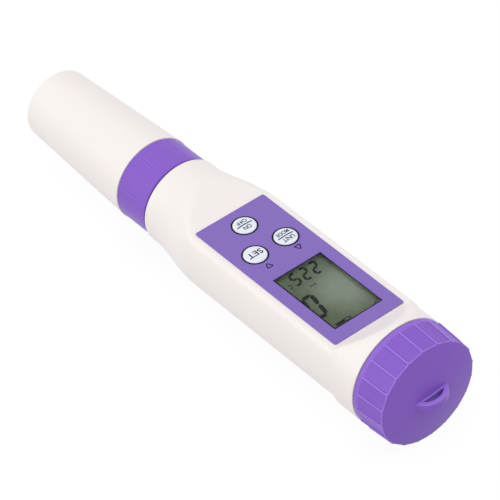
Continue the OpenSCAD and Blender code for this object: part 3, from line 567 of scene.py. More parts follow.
marks = np.concatenate([
    digit("2", -6.15, small_foot, *SMALL_DIGIT), digit("2", -2.2, small_foot, *SMALL_DIGIT),
    digit("5", 1.75, small_foot, *SMALL_DIGIT), digit("0", 4.15, big_foot, *BIG_DIGIT),
    strokes(decimal_point, small_foot, 0.5), digit("C", 5.8, small_foot + 3.4, *DEGREE_C),
    strokes(degree_sign, small_foot, 0.45), strokes(battery_charge, icon_s, 1.0),
    strokes(corner_frame, frame_s, 0.25), strokes(battery_case, icon_s, 0.28)])


def printed(name, colour, roughness):
    """Flat printing ink or dark crystal: an even film whose gloss varies a little over about 1 mm."""
    made, tree = new_finish(name)
    place = node(tree, "ShaderNodeTexCoord").outputs["Object"]
    wear = node(tree, "ShaderNodeTexNoise", {"Vector": place, "Scale": 1 / MM, "Detail": 2.0})
    gloss = node(tree, "ShaderNodeMapRange", {
        "Value": wear.outputs["Fac"], "To Min": roughness - 0.05, "To Max": roughness + 0.05})
    surface = node(tree, "ShaderNodeBsdfPrincipled", {
        "Base Color": linear(colour), "Roughness": gloss.outputs["Result"], "Specular IOR Level": 0.05})
    node(tree, "ShaderNodeOutputMaterial", {"Surface": surface.outputs["BSDF"]})
    return made


mark_base, mark_top = lcd_top + mark_lift, lcd_top + mark_film + mark_lift
piece(prism("display_marks", marks, mark_base, mark_top), "meter_body", "display_glass",
      printed("crystal_dark", "#070c0a", 0.5))
faint_marks = strokes(unit_sign, big_foot, 0.3)
piece(prism("display_unit", faint_marks, mark_base, mark_top), "meter_body", "display_glass",
      printed("crystal_faint", "#3e4a40", 0.5))


# Window: a flat plate of clear acrylic that drops into the housing's opening, level with its flat. The label
# laps over its edge. A black band lies on it along the label's opening, wider at the rear and on the -Y
# side: painted shadow of the opening's edges on the display below.
def clear_plastic(name, colour, ior, roughness, shine=1.0):
    """Clear acrylic or glass: it refracts what lies behind it, and lamps shine straight through to light
    that. Of the light that a bare face would throw back, it reflects the share shine."""
    made, tree = new_finish(name)
    place = node(tree, "ShaderNodeTexCoord").outputs["Object"]
    haze = node(tree, "ShaderNodeTexNoise", {"Vector": place, "Scale": 1 / (4 * MM), "Detail": 2.0})
    gloss = node(tree, "ShaderNodeMapRange", {
        "Value": haze.outputs["Fac"], "To Min": 0.0, "To Max": 2 * roughness})
    surface = node(tree, "ShaderNodeBsdfPrincipled", {
        "Base Color": linear(colour), "Roughness": gloss.outputs["Result"], "IOR": ior,
        "Specular Tint": (shine, shine, shine, 1), "Transmission Weight": 1.0})
    open_to_lamps = node(tree, "ShaderNodeBsdfTransparent", {"Color": linear(colour)})
    shadow = node(tree, "ShaderNodeLightPath").outputs["Is Shadow Ray"]
    both = node(tree, "ShaderNodeMixShader", {
        0: shadow, 1: surface.outputs["BSDF"], 2: open_to_lamps.outputs["BSDF"]})
    node(tree, "ShaderNodeOutputMaterial", {"Surface": both.outputs["Shader"]})
    return made


paint(clear_plastic("acrylic_clear", "#f7f7f6", 1.49, 0.005, shine=0.02), "display_window")
WINDOW_LAP = 0.475
# Widths of the painted shadow band: at the rear and the -Y side, then at the other two sides
near_shadow_band, far_shadow_band = 0.6, 0.2
shadow_band_z = window_top + 0.005
out_s, out_end = window_s + WINDOW_LAP, window_end - WINDOW_LAP
out_y, out_far = window_y + WINDOW_LAP, window_far - WINDOW_LAP
in_s, in_end = out_s + far_shadow_band, out_end - near_shadow_band
in_y, in_far = out_y + near_shadow_band, out_far - far_shadow_band
# Black band of painted shadow round the window's opening
shadow_band = [oblong(out_s, out_end, out_y, in_y), oblong(out_s, out_end, in_far, out_far),
          oblong(out_s, in_s, in_y, in_far), oblong(in_end, out_end, in_y, in_far)]
piece(prism("window_shadow_band", shadow_band, shadow_band_z, shadow_band_z + mark_film), "meter_body", "clear_window",
      printed("black_painted_shadow", "#14121a", 0.5))


# Label: a printed polyester film with a fine matte face, stuck on the flat round the window and the keys.
# Two outlined arrows for up and down are printed behind the pair of keys.
def printed_film(name, colour, deep):
    """Screen-printed polyester film: an even violet under a velvet face. The print's mesh varies the tone a
    little, and its 0.15 mm dots are drawn at 0.6 mm so that they show."""
    made, tree = new_finish(name)
    place = node(tree, "ShaderNodeTexCoord").outputs["Object"]
    dots = node(tree, "ShaderNodeTexNoise", {"Vector": place, "Scale": 1 / (0.6 * MM), "Detail": 1.0})
    tint = node(tree, "ShaderNodeMix", {
        "Factor": dots.outputs["Fac"], 6: linear(colour), 7: linear(deep)}, data_type="RGBA")
    bump = node(tree, "ShaderNodeBump", {
        "Height": dots.outputs["Fac"], "Strength": 0.05, "Distance": 0.02 * MM})
    surface = node(tree, "ShaderNodeBsdfPrincipled", {
        "Base Color": tint.outputs[2], "Roughness": 0.5, "IOR": 1.5, "Normal": bump.outputs["Normal"]})
    node(tree, "ShaderNodeOutputMaterial", {"Surface": surface.outputs["BSDF"]})
    return made


paint(printed_film("polyester_film_violet", "#8066bb", "#7a5eb3"), "label_overlay")
arrow_side = 2.3
arrow_h = 2.0
arrow_gap = 6.4
arrow_stroke = 0.36
arrow_ends = []
for key, way in (("mode", 1), ("set", -1)):
    spot_s, spot_y = KEY_SPOTS[key]
    tip = [-spot_y, spot_s + arrow_gap + way * arrow_h / 2]
    left = [-spot_y - arrow_side / 2, spot_s + arrow_gap - way * arrow_h / 2]
    right = [-spot_y + arrow_side / 2, spot_s + arrow_gap - way * arrow_h / 2]
    arrow_ends += [[tip, left], [left, right], [right, tip]]
arrows = reading(bars(arrow_ends, arrow_stroke))
piece(prism("label_arrows", arrows, LABEL_TOP, LABEL_TOP + mark_film), "meter_body", "label_film",
      printed("ink_dark_violet", "#2c1745", 0.45))


# Keys: three pale caps of moulded silicone rubber with crowned faces. A flange under the wall holds each one
# in its hole, a near-black lip fills the gap round it and laps a little onto the label, and its words are
# printed on the crown. The lip's near-black colour is painted shade in the gap.
KEY_EDGE_Z = LABEL_TOP + 0.3
KEY_CROWN = 0.3
KEY_EDGE_ROUND = 0.35
LETTER_BOLD = 0.01
WORD_LIFT = 0.035
WORD_FILM = 0.01
crown_base_r = KEY_R - KEY_EDGE_ROUND
CROWN_R = (crown_base_r ** 2 + KEY_CROWN ** 2) / (2 * KEY_CROWN)


def crown_height(r):
    """Height of a key's face at radius r: a sphere through the crown and the rounded edge."""
    return KEY_EDGE_Z + KEY_CROWN - CROWN_R + np.sqrt(CROWN_R ** 2 - r ** 2)


def upright(outline, spot, angle):
    """Surface of an outline of [radius, height] points carried round an upright axis at a spot."""
    r, z = np.transpose(outline)[:, :, None]
    return np.stack(np.broadcast_arrays(
        spot[0] + r * np.cos(angle), spot[1] + r * np.sin(angle), z), axis=-1)


def lettering(name, word, spot, line, height, width):
    """Mesh of a printed word on a key's crown: flat letters, fitted to a height and a width and centred the
    distance line above the key's middle, each point of which is raised to the crown's height at its
    radius."""
    curve = bpy.data.curves.new(name, "FONT")
    curve.body = word
    curve.offset = LETTER_BOLD
    curve.extrude = 0.1
    mesh = final_mesh(placed(name, curve))
    flat = np.empty(len(mesh.vertices) * 3)
    mesh.vertices.foreach_get("co", flat)
    flat = flat.reshape(-1, 3)
    low, high = flat.min(axis=0), flat.max(axis=0)
    size, shift = [width, height, WORD_FILM], [0, line, WORD_LIFT]
    right, up, thick = ((flat - (low + high) / 2) / (high - low) * size + shift).T
    points = np.stack([spot[0] + up, spot[1] - right, crown_height(np.hypot(right, up)) + thick], axis=1)
    mesh.vertices.foreach_set("co", (points * MM + ORIGIN).ravel())
    mesh.update()
    return mesh


key_silicone = rubber("silicone_pale", "#e6ebf6", "#dfe5f2", cloud=2, detail=2.0, roughness=0.42, ior=1.43)
# Near-black lip: painted shade in the gap round each key
gap_shade_rubber = rubber("rubber_lip_gap_shade", "#0a0513", "#160e24", shine=0.1)
word_ink = printed("ink_grey", "#1f2630", 0.5)
KEY_FLANGE_R = KEY_R + KEY_GAP + 0.25
KEY_STEM_R = 1.7
flange_top = CEILING - 0.05
flange_base = flange_top - 0.85
crown_arc = np.linspace(crown_base_r, 0, 10)
edge_arc = np.linspace(0, np.pi / 2 - np.arcsin(crown_base_r / CROWN_R), 6)[:-1]
key_edge = arc([crown_base_r, KEY_EDGE_Z - KEY_EDGE_ROUND], KEY_EDGE_ROUND, edge_arc)
# For each word on a key: the word, its distance above the key's middle, its height and its width
KEY_WORDS = {
    "power": (("ON", 1.5, 1.6, 2.8), ("OFF", -1.5, 1.6, 3.8)),
    "mode": (("UNIT", 1.5, 1.6, 4.3), ("MODE", -1.5, 1.6, 4.7)),
    "set": (("SET", 0, 2.3, 5.4),)}
RULE_HALF_L = 2.9
RULE_HALF_W = 0.19
rule_along = np.linspace(-RULE_HALF_L, RULE_HALF_L, 17)[:, None]
rule_aside = RULE_HALF_W * np.array([-1, 1, 1, -1])
rule_lift = np.array([0.03, 0.03, 0.045, 0.045])
lip_in, lip_out, lip_reach = KEY_R + 0.07, KEY_R + KEY_GAP - 0.02, KEY_R + 0.55
lip_base, lip_seat, lip_top = FLAT_H - 0.5, LABEL_TOP + 0.01, LABEL_TOP + 0.06
lip_outline = rounded([[lip_in, lip_base], [lip_out, lip_base], [lip_out, lip_seat], [lip_reach, lip_seat],
                       [lip_reach, lip_top], [lip_in, lip_top], [lip_in, lip_base + 0.01]], 0.02)
for key in KEYS:
    spot = KEY_SPOTS[key]
    stem_z = extent(key + "_button")[0][2]
    outline = np.concatenate([
        [[0, stem_z]],
        rounded([[0.1, stem_z], [KEY_STEM_R, stem_z], [KEY_STEM_R, flange_base], [KEY_FLANGE_R, flange_base],
                 [KEY_FLANGE_R, flange_top], [KEY_R, flange_top],
                 [KEY_R, KEY_EDGE_Z - KEY_EDGE_ROUND - 0.1]], 0.12),
        key_edge, np.stack([crown_arc, crown_height(crown_arc)], axis=1)])
    piece(skin(key + "_key_cap", upright(outline, spot, key_angle)), key + "_key", "button", key_silicone,
          key + "_button")
    piece(skin(key + "_key_lip", upright(lip_outline, spot, key_angle), ring=True), "meter_body", "rubber",
          gap_shade_rubber)
    for word, line, height, width in KEY_WORDS[key]:
        word_mesh = lettering(key + "_key_" + word.lower(), word, spot, line, height, width)
        piece(word_mesh, key + "_key", "button", word_ink)
    if len(KEY_WORDS[key]) == 2:
        rule = np.stack(np.broadcast_arrays(
            spot[0] + rule_aside, spot[1] - rule_along, crown_height(rule_along) + rule_lift), axis=-1)
        rule_ends = np.broadcast_to(rule[[0, -1]].mean(axis=1, keepdims=True), (2, 4, 3))
        rule = np.concatenate([rule_ends[:1], rule, rule_ends[1:]])
        piece(skin(key + "_key_rule", rule), key + "_key", "button", word_ink)


# Electrode: a white moulded holder with a spigot for the cap, a flange under the collar and a plug with brass
# pins. In front stand a slotted guard and a thin glass bulb on a glass stem, with a wire inside.
(SPIGOT_S, _, _), (PLUG_END, _, _) = extent("electrode_holder")
(GUARD_S, _, _), (GUARD_END, _, GUARD_R) = extent("probe_guard")
(BULB_TIP_S, _, _), (STEM_END, _, BULB_R) = extent("glass_electrode")
SPIGOT_R = 12.1
FLANGE_R = FRONT_THREAD_R - 0.15
flange_s = extent("locking_collar")[0][0] + 3.0
flange_end = THREAD_S - 0.1
PLUG_R = PLUG_BORE_R - 0.08
STEM_R = 4.0
GLASS_WALL = 0.9
FIT = 0.05
wire_bore_r = 0.5
(cap_seal_s, _, _), (cap_seal_end, _, cap_seal_r) = extent("cap_seal")
(plug_seal_s, _, _), (plug_seal_end, _, plug_seal_r) = extent("plug_seal")
cap_cord = cap_seal_end - cap_seal_s
cap_groove_r = cap_seal_r - cap_cord - FIT
plug_groove_r = plug_seal_r - (plug_seal_end - plug_seal_s) - FIT
round_angle = around(160)
holder_rounds = [0.2, 0.5] + [0.15] * 12 + [0.5] + [0.1] * 3
holder_outline = rounded([
    [GUARD_END, GUARD_R + FIT], [SPIGOT_S, GUARD_R + FIT], [SPIGOT_S, SPIGOT_R],
    [cap_seal_s - FIT, SPIGOT_R], [cap_seal_s - FIT, cap_groove_r], [cap_seal_end + FIT, cap_groove_r],
    [cap_seal_end + FIT, SPIGOT_R], [flange_s, SPIGOT_R], [flange_s, FLANGE_R], [flange_end, FLANGE_R],
    [flange_end, PLUG_R], [plug_seal_s - FIT, PLUG_R], [plug_seal_s - FIT, plug_groove_r],
    [plug_seal_end + FIT, plug_groove_r], [plug_seal_end + FIT, PLUG_R], [PLUG_END, PLUG_R],
    [PLUG_END, wire_bore_r], [STEM_END, wire_bore_r], [STEM_END, STEM_R + FIT],
    [GUARD_END, STEM_R + FIT]], holder_rounds)
piece(skin("electrode_holder_skin", turned(holder_outline, round_angle), ring=True), "electrode",
      "white_abs", white_abs, "electrode_holder")
seal_middle = [(cap_seal_s + cap_seal_end) / 2, cap_seal_r - cap_cord / 2]
seal_outline = arc(seal_middle, cap_cord / 2, around(32))
piece(skin("cap_seal_ring", turned(seal_outline, round_angle), ring=True), "electrode", "rubber",
      seal_rubber, "cap_seal")

GUARD_BORE_R = GUARD_R - 1.8
SLOT_W = 5.0
SLOT_L = 11.0
WEB_S = GUARD_S + 13
WEB_END = WEB_S + 3
guard_outline = rounded([
    [WEB_S, STEM_R + FIT], [WEB_S, GUARD_BORE_R], [GUARD_S, GUARD_BORE_R], [GUARD_S, GUARD_R],
    [GUARD_END, GUARD_R], [GUARD_END, GUARD_BORE_R], [WEB_END, GUARD_BORE_R], [WEB_END, STEM_R + FIT]],
    [0.3, 0.5, 0.6, 0.1, 0.1, 0.3])
guard_mesh = skin("probe_guard_skin", turned(guard_outline, round_angle), ring=True)
slot_corners = rounded(oblong(0, SLOT_L + 1, -SLOT_W / 2, SLOT_W / 2), 1.2, 7)
for turn in np.radians([45, 135]):
    bar = prism("guard_slot", [slot_corners + [GUARD_S - 1, 0]], -GUARD_R - 1, GUARD_R + 1)
    middle = Vector(ORIGIN)
    bar.transform(Matrix.Translation(middle) @ Matrix.Rotation(turn, 4, "X") @ Matrix.Translation(-middle))
    guard_mesh = cut(guard_mesh, bar)
piece(guard_mesh, "electrode", "white_abs", white_abs, "probe_guard")

bulb_s = BULB_TIP_S + BULB_R
bulb_join = np.arcsin(STEM_R / BULB_R)
inner_r = BULB_R - GLASS_WALL
inner_join = np.arcsin((STEM_R - GLASS_WALL) / inner_r)
glass_outline = np.concatenate([
    arc([bulb_s, 0], BULB_R, np.linspace(np.pi, bulb_join, 28)),
    [[STEM_END - 0.3, STEM_R], [STEM_END, STEM_R - 0.2], [STEM_END, STEM_R - GLASS_WALL]],
    arc([bulb_s, 0], inner_r, np.linspace(inner_join, np.pi, 28))])
glass_outline[np.abs(glass_outline[:, 1]) < TINY, 1] = 0
piece(skin("glass_bulb", turned(glass_outline, round_angle)), "electrode", "probe_glass",
      clear_plastic("glass_blown", "#eef4f6", 1.47, 0.01), "glass_electrode")
paint(nickel, "inner_wire", "temperature_pin")
paint(moulded_plastic("ceramic_porous", "#e9e2d2", "#ddd4c0", 0.8, 0.4), "reference_junction")


# Locking collar: a violet moulded nut that turns on the body's front thread and pulls the electrode in. Eight
# fine grooves along it give a grip, each with a painted highlight along both sides. It stops short of the
# body, so that a dark seam shows between them.
(COLLAR_S, _, _), (collar_solid_end, _, COLLAR_R) = extent("locking_collar")
SEAM_OPEN = 0.6
COLLAR_END = collar_solid_end - SEAM_OPEN
COLLAR_BORE_R = FRONT_THREAD_R + 0.08
COLLAR_LIP_R = SPIGOT_R + 0.15
lip_end = COLLAR_S + 2.9
COLLAR_ROUND = 0.3
GROOVE_N = 8
GROOVE_D = 0.25
# Share of painted highlight beside each groove
GROOVE_HIGHLIGHT = 0.4
groove_s = COLLAR_S + 0.9
groove_end = COLLAR_END - 2.4
# The lighter second colour is a painted highlight, laid where a mesh's attribute edge is high
violet_abs = moulded_plastic(
    "violet_abs_moulded", "#8b61ca", "#855bc3", 0.36, grain=0.02, highlight_colour="#bb95f5", shine=0.14)


def nut(start, end, bore_r, angle):
    """Surface of an inner thread: the bore less what the ridge leaves, so that it stays a running gap
    outside the outer thread in every turn."""
    s = np.linspace(start, end, THREAD_ROWS)
    along = s[:, None]
    low, high = min(start, end), max(start, end)
    fade = ease(low, low + THREAD_PITCH, along) * (1 - ease(high - THREAD_PITCH, high, along))
    outline = np.stack([s, np.full(THREAD_ROWS, bore_r)], axis=1)
    return turned(outline, angle, THREAD_DEPTH * fade * (thread_ridge(along, angle) - 1))


def spread(count, first, offsets):
    """Angles round the axis: the offsets, in degrees, on both sides of each of count equal marks, the first
    of which lies at the angle first."""
    offsets = np.concatenate([-np.array(offsets[:0:-1]), offsets])
    marks_at = first + 360 / count * np.arange(count)
    return np.radians((marks_at[:, None] + offsets).ravel())


def off_mark(angle, count, first):
    """Angle to the nearest of count equal marks, the first of them at the angle first, in degrees."""
    step = 360 / count
    return np.abs((np.degrees(angle) - first + step / 2) % step - step / 2)


GROOVE_TURN = 22.5
collar_angle = spread(GROOVE_N, GROOVE_TURN, [0, 0.5, 0.85, 1.15, 1.45, 2, 4, 7, 10, 13, 16, 19, 22])
groove_off = off_mark(collar_angle, GROOVE_N, GROOVE_TURN)
groove = GROOVE_D * (1 - ease(0.6, 1.4, groove_off))
collar_side_s = np.concatenate([
    [COLLAR_S + 0.45], groove_s + np.linspace(-0.2, 0.5, 5), np.linspace(groove_s + 1.5, groove_end - 1.5, 6),
    groove_end + np.linspace(-0.5, 0.2, 5), [COLLAR_END - 0.75]])
groove_reach = (ease(groove_s - 0.1, groove_s + 0.4, collar_side_s)
                * (1 - ease(groove_end - 0.4, groove_end + 0.1, collar_side_s)))
collar_side = np.stack([collar_side_s, np.full(len(collar_side_s), COLLAR_R)], axis=1)
collar_front = turned(rounded(
    [[COLLAR_S, COLLAR_LIP_R], [COLLAR_S, COLLAR_R], [COLLAR_S + 0.4, COLLAR_R]], COLLAR_ROUND), collar_angle)
collar_rear = rounded(
    [[COLLAR_END - 0.7, COLLAR_R], [COLLAR_END, COLLAR_R], [COLLAR_END, COLLAR_BORE_R]], COLLAR_ROUND)
collar_rest = np.concatenate([
    turned(collar_rear[:-1], collar_angle), nut(COLLAR_END, lip_end, COLLAR_BORE_R, collar_angle),
    turned([[lip_end, COLLAR_LIP_R]], collar_angle)])
collar_grid = np.concatenate([
    collar_front, turned(collar_side, collar_angle, -groove_reach[:, None] * groove), collar_rest])
# Painted highlight along both sides of each groove
groove_highlight = GROOVE_HIGHLIGHT * (1 - ease(0, 0.6, np.abs(groove_off - 1.45)))
collar_highlight = np.concatenate([
    np.zeros(collar_front.shape[:2]), groove_reach[:, None] * groove_highlight, np.zeros(collar_rest.shape[:2])])
piece(skin("locking_collar_skin", collar_grid, ring=True, edge=collar_highlight), "collar", "violet_abs",
      violet_abs, "locking_collar")


# Probe cap: a long white moulded cup with a slight taper and a softly rounded closed end. Its straight mouth
# slides over the electrode's seal.
CAP_L = extent("probe_cap")[1][0]
CAP_END_R = 12.45
CAP_MOUTH_R = extent("probe_cap")[1][2]
CAP_WALL = 1.6
CAP_BORE_R = 13.2
CAP_BORE_S = CAP_L - 12.3
cap_taper = (CAP_MOUTH_R - CAP_END_R) / CAP_L
cap_outline = np.concatenate([
    [[0, 0]],
    rounded([[0, 1], [0, CAP_END_R], [CAP_L, CAP_MOUTH_R], [CAP_L, CAP_BORE_R], [CAP_BORE_S, CAP_BORE_R],
             [CAP_BORE_S - 1.5, CAP_END_R + cap_taper * CAP_BORE_S - CAP_WALL],
             [CAP_WALL, CAP_END_R + cap_taper * CAP_WALL - CAP_WALL], [CAP_WALL, 1]],
            [1.35, 0.1, 0.25, 0.3, 0.3, 0.8], 8),
    [[CAP_WALL, 0]]])
piece(skin("probe_cap_skin", turned(cap_outline, round_angle)), "cap", "white_abs", white_abs, "probe_cap")


# Battery cap: a violet moulded screw cap. A plain band runs round its mouth, then twenty facets with a rib on
# each corner taper to a bevelled edge, and the domed end carries a moulded lanyard tab. Screwed home, it
# stands turned by a few degrees. The band, the step to the facets, the ribs, the rim and the tab's upper
# half are lighter: painted highlights.
(LID_S, _, _), (TAB_END, _, _) = extent("battery_cap")
LID_END = LID_S + 12.1
LID_TURN = 4.5
LID_BAND_R = 18.55
FACETS_S = LID_S + 1.6
FACET_N = 20
FACET_R = 18.45
RIB_R = 0.35
RIB_RING_R = 18.65
LID_TAPER = np.tan(np.radians(1.7))
RIB_STEEPER = 1.8
LID_BORE_R = REAR_THREAD_R + 0.08
LID_WALL_S = LID_END - 2
DOME_RISE = 2.45
DOME_S = LID_END + DOME_RISE
LID_EDGE_R = RIB_RING_R + RIB_R - (LID_END - FACETS_S) * LID_TAPER
DOME_R = (LID_EDGE_R ** 2 + DOME_RISE ** 2) / (2 * DOME_RISE)
BEVEL_R = LID_EDGE_R - 0.5
BEVEL_S = DOME_S - DOME_R + np.sqrt(DOME_R ** 2 - BEVEL_R ** 2)
# Shares of painted highlight on the ribs, the band, the step, the rim and the tab
RIB_HIGHLIGHT = 0.45
BAND_HIGHLIGHT = 0.16
STEP_HIGHLIGHT = 0.3
RIM_HIGHLIGHT = 0.8
TAB_HIGHLIGHT = 0.4
LID_CREASE = 24


def lid_radius(s, angle):
    """Radius of the cap's side: a round band that steps down to a polygon, r cos(half) / cos(half - off),
    with a round rib on each corner, less the taper, which is steeper on the ribs."""
    off = np.radians(off_mark(angle, FACET_N, LID_TURN))
    half = np.pi / FACET_N
    drop = (s - FACETS_S) * LID_TAPER
    polygon = FACET_R * np.cos(half) / np.cos(half - off) - drop
    side = mix(LID_BAND_R, polygon, ease(FACETS_S - 0.12, FACETS_S + 0.12, s))
    within = np.maximum(RIB_R ** 2 - (RIB_RING_R * np.sin(off)) ** 2, 0)
    rib = RIB_RING_R * np.cos(off) + np.sqrt(within) - RIB_STEEPER * drop
    return side + np.maximum(rib - side, 0) * ease(FACETS_S - 0.1, FACETS_S + 0.3, s)


def lid_end_s(r):
    """Station of the cap's end at radius r: the dome's sphere, or the bevel's cone at 45 degrees outside
    it."""
    return np.minimum(DOME_S - DOME_R + np.sqrt(DOME_R ** 2 - r ** 2), BEVEL_S + BEVEL_R - r)


lid_angle = spread(FACET_N, LID_TURN, [0, 0.35, 0.63, 0.83, 0.95, 1.04, 1.15, 1.7, 3.5, 6, 8.9])
lid_round = 0.22
rim_r = lid_radius(LID_END, lid_angle)
rim_s = lid_end_s(rim_r)
rim_u = np.linspace(0, 1, 5)[:, None]
rim_weights = np.stack([(1 - rim_u) ** 2, 2 * rim_u * (1 - rim_u), rim_u ** 2])
rim_corner_s = np.stack([rim_s - lid_round, rim_s, lid_end_s(rim_r - lid_round)])
rim_corner_r = np.stack([rim_r + lid_round * LID_TAPER, rim_r, rim_r - lid_round])
rim_path_s, rim_path_r = (
    (rim_weights * corner[:, None]).sum(axis=0) for corner in (rim_corner_s, rim_corner_r))
band_s = LID_S + np.array([
    0.25, 0.45, 0.6, 0.7, 0.8, 0.9, 1.0, 1.2, 1.45, 1.5, 1.57, 1.63, 1.7, 1.78, 1.95])[:, None]
grip_s = mix(LID_S + 2.3, rim_s - lid_round, np.array([0, 0.2, 0.4, 0.6, 0.8, 0.94, 0.985])[:, None])
side_s = np.concatenate([np.broadcast_to(band_s, (len(band_s), len(lid_angle))), grip_s])
bevel_r = mix(rim_r - lid_round, BEVEL_R, np.array([0.5, 1])[:, None])
dome_r = BEVEL_R * np.array([0.985, 0.95, 0.88, 0.78, 0.66, 0.54, 0.42, 0.3, 0.18, 0.08, 0])[:, None]
end_r = np.concatenate([
    np.minimum(bevel_r, rim_r - lid_round), np.broadcast_to(dome_r, (len(dome_r), len(lid_angle)))])
lid_s = np.concatenate([side_s, rim_path_s, lid_end_s(end_r)])
lid_r = np.concatenate([lid_radius(side_s, lid_angle), rim_path_r, end_r])
lid_outside = np.stack([lid_s, lid_r * np.cos(lid_angle), lid_r * np.sin(lid_angle)], axis=-1)
lid_off = off_mark(lid_angle, FACET_N, LID_TURN)
on_facets = ease(FACETS_S - 0.1, FACETS_S + 0.2, side_s)
# Painted highlight on the ribs, the band and the step to the facets, then round the rim
rib_highlight = RIB_HIGHLIGHT * (1 - ease(0.45, 1.0, lid_off)) * on_facets
step_highlight = STEP_HIGHLIGHT * (1 - ease(0, 0.2, np.abs(side_s - FACETS_S)))
side_highlight = np.maximum(rib_highlight, BAND_HIGHLIGHT * (1 - on_facets) + step_highlight)
rim_highlight = RIM_HIGHLIGHT * np.sin(np.linspace(0.1, 0.95, len(rim_path_s)) * np.pi)[:, None]
lid_highlight = np.concatenate([side_highlight, np.broadcast_to(rim_highlight, rim_path_s.shape), np.zeros(end_r.shape)])
lid_mouth = rounded([[LID_S + 0.6, LID_BORE_R], [LID_S, LID_BORE_R + 0.4], [LID_S, LID_BAND_R],
                     [LID_S + 0.24, LID_BAND_R]], 0.2)
lid_inside = np.concatenate([
    turned([[LID_WALL_S, 0], [LID_WALL_S, 4], [LID_WALL_S, LID_BORE_R - 0.3]], lid_angle),
    nut(LID_WALL_S - 0.3, LID_S + 0.7, LID_BORE_R, lid_angle), turned(lid_mouth, lid_angle)])
lid_grid = np.concatenate([lid_inside, lid_outside])
lid_highlight = np.concatenate([np.zeros(lid_inside.shape[:2]), lid_highlight])
piece(skin("battery_cap_skin", lid_grid, sharp=LID_CREASE, edge=lid_highlight), "lid", "violet_abs", violet_abs,
      "battery_cap")

TAB_T = 3.5
TAB_RIM = 1.5
TAB_W = 12.3
TAB_OUT = TAB_END - DOME_S
TAB_R = ((TAB_W / 2) ** 2 + TAB_OUT ** 2) / (2 * TAB_OUT)
tab_mid_s = TAB_END - TAB_R


def half_disc(r, chord_s, count):
    """Closed outline of the part of a disc beyond a chord: an arc, then the chord back, as
    [station, across]."""
    reach = np.arccos((chord_s - tab_mid_s) / r)
    back = np.linspace(1, -1, count // 2)[1:-1] * r * np.sin(reach)
    curve = arc([tab_mid_s, 0], r, np.linspace(-reach, reach, count))
    chord = np.stack([np.full(len(back), chord_s), back], axis=1)
    return np.concatenate([curve, chord])


tab_outer = half_disc(TAB_R, DOME_S - 0.8, 80)
tab_inner = half_disc(TAB_R - TAB_RIM, DOME_S + 0.45, 80)
tab_section = rounded([[0, -0.5], [1, -0.5], [1, 0.5], [0, 0.5], [0, -0.5], [1, -0.5]], 0.16, 6)[1:-6]
tab_across, tab_up = tab_section[:, 0][:, None, None], tab_section[:, 1][:, None]
tab_s, tab_y = np.moveaxis(mix(tab_outer, tab_inner, tab_across), 2, 0)
tab_z = TAB_T * tab_up
tab_cos, tab_sin = np.cos(np.radians(LID_TURN)), np.sin(np.radians(LID_TURN))
tab_grid = np.stack([tab_s, tab_y * tab_cos - tab_z * tab_sin, tab_y * tab_sin + tab_z * tab_cos], axis=2)
# Painted highlight over the tab's upper half
tab_highlight = np.broadcast_to(TAB_HIGHLIGHT * ease(0.3, 0.5, tab_up), tab_grid.shape[:2])
piece(skin("lanyard_tab", tab_grid, ring=True, edge=tab_highlight), "lid", "violet_abs", violet_abs)


# Studio: a pale floor that shows white to the camera but keeps a faint shadow, an even white surround, a wide
# soft lamp above and another low on the near side. The camera stands where the photograph's stood.
FLOOR_COLOUR = "#cccccc"
FLOOR_WHITE = 1.09
FLOOR_WHITE_SHARE = 0.85
SKY_LIGHT = 0.78
SKY_SEEN = 1.0


def seen(tree):
    """1 for a ray from the camera, from a reflection or through glass, and 0 for light between surfaces."""
    path = node(tree, "ShaderNodeLightPath").outputs
    either = path["Is Camera Ray"]
    for ray in ("Is Glossy Ray", "Is Transmission Ray"):
        either = node(tree, "ShaderNodeMath", {0: either, 1: path[ray]}, operation="MAXIMUM").outputs[0]
    return either


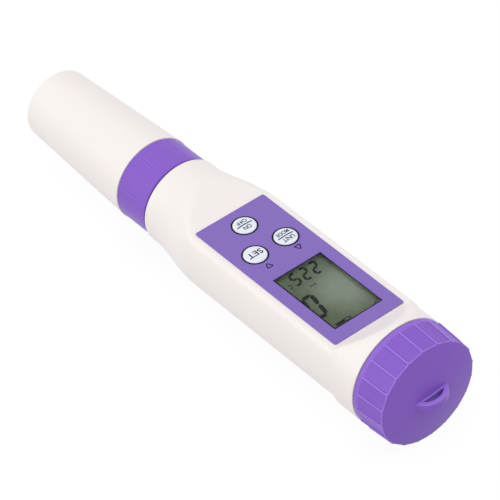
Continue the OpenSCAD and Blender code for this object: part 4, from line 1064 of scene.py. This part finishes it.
def floor_paint(name):
    """Matte white floor. The camera, reflections and glass see it mostly as plain white, so that the shadow
    on it stays faint."""
    made, tree = new_finish(name)
    share = node(tree, "ShaderNodeMath", {0: seen(tree), 1: FLOOR_WHITE_SHARE}, operation="MULTIPLY")
    matte = node(tree, "ShaderNodeBsdfDiffuse", {"Color": linear(FLOOR_COLOUR)})
    glow = node(tree, "ShaderNodeEmission", {"Color": (1, 1, 1, 1), "Strength": FLOOR_WHITE})
    both = node(tree, "ShaderNodeMixShader", {
        0: share.outputs[0], 1: matte.outputs["BSDF"], 2: glow.outputs["Emission"]})
    node(tree, "ShaderNodeOutputMaterial", {"Surface": both.outputs["Shader"]})
    return made


floor_half, floor_t = 4000, 20
floor_top = -ORIGIN[2] / MM
floor_mesh = prism("floor", [oblong(-floor_half, floor_half, -floor_half, floor_half)],
                   floor_top - floor_t, floor_top)
floor_mesh.materials.append(floor_paint("floor_white_matte"))
placed("floor", floor_mesh)

world = bpy.data.worlds.new("studio")
bpy.context.scene.world = world
world.use_nodes = True
sky = world.node_tree
sky.nodes.clear()
strength = node(sky, "ShaderNodeMix", {"Factor": seen(sky), 2: SKY_LIGHT, 3: SKY_SEEN}).outputs[0]
light = node(sky, "ShaderNodeBackground", {"Color": (1, 1, 1, 1), "Strength": strength})
node(sky, "ShaderNodeOutputWorld", {"Surface": light.outputs["Background"]})

# For each lamp: its place in metres, the side of its square and its power in watts
LAMPS = {"key": ((0.3, 0.1, 1.3), 1.2, 4.0), "fill": ((-0.4, -1.25, 0.45), 1.2, 5.6)}
for lamp_name, (spot, side, power) in LAMPS.items():
    lamp = bpy.data.lights.new(lamp_name, "AREA")
    lamp.size = side
    lamp.energy = power
    holder = placed(lamp_name, lamp)
    holder.location = spot
    holder.rotation_euler = (-Vector(spot)).to_track_quat("-Z", "Y").to_euler()

EYE = Vector((0.5865, -0.4275, 0.67792))
AIM = Vector((-0.59495, 0.43833, -0.67372)).normalized()
RIGHT = Vector((0.6328, 0.77225, -0.05639)).normalized()
LENS_MM = 225.2
SENSOR_MM = 36
camera = bpy.data.cameras.new("camera")
camera.lens = LENS_MM
camera.sensor_width = SENSOR_MM
holder = placed("camera", camera)
facing = Matrix((RIGHT, RIGHT.cross(AIM), -AIM)).transposed().to_4x4()
holder.matrix_world = Matrix.Translation(EYE) @ facing
bpy.context.scene.camera = holder
bpy.context.scene.view_settings.view_transform = "Standard"
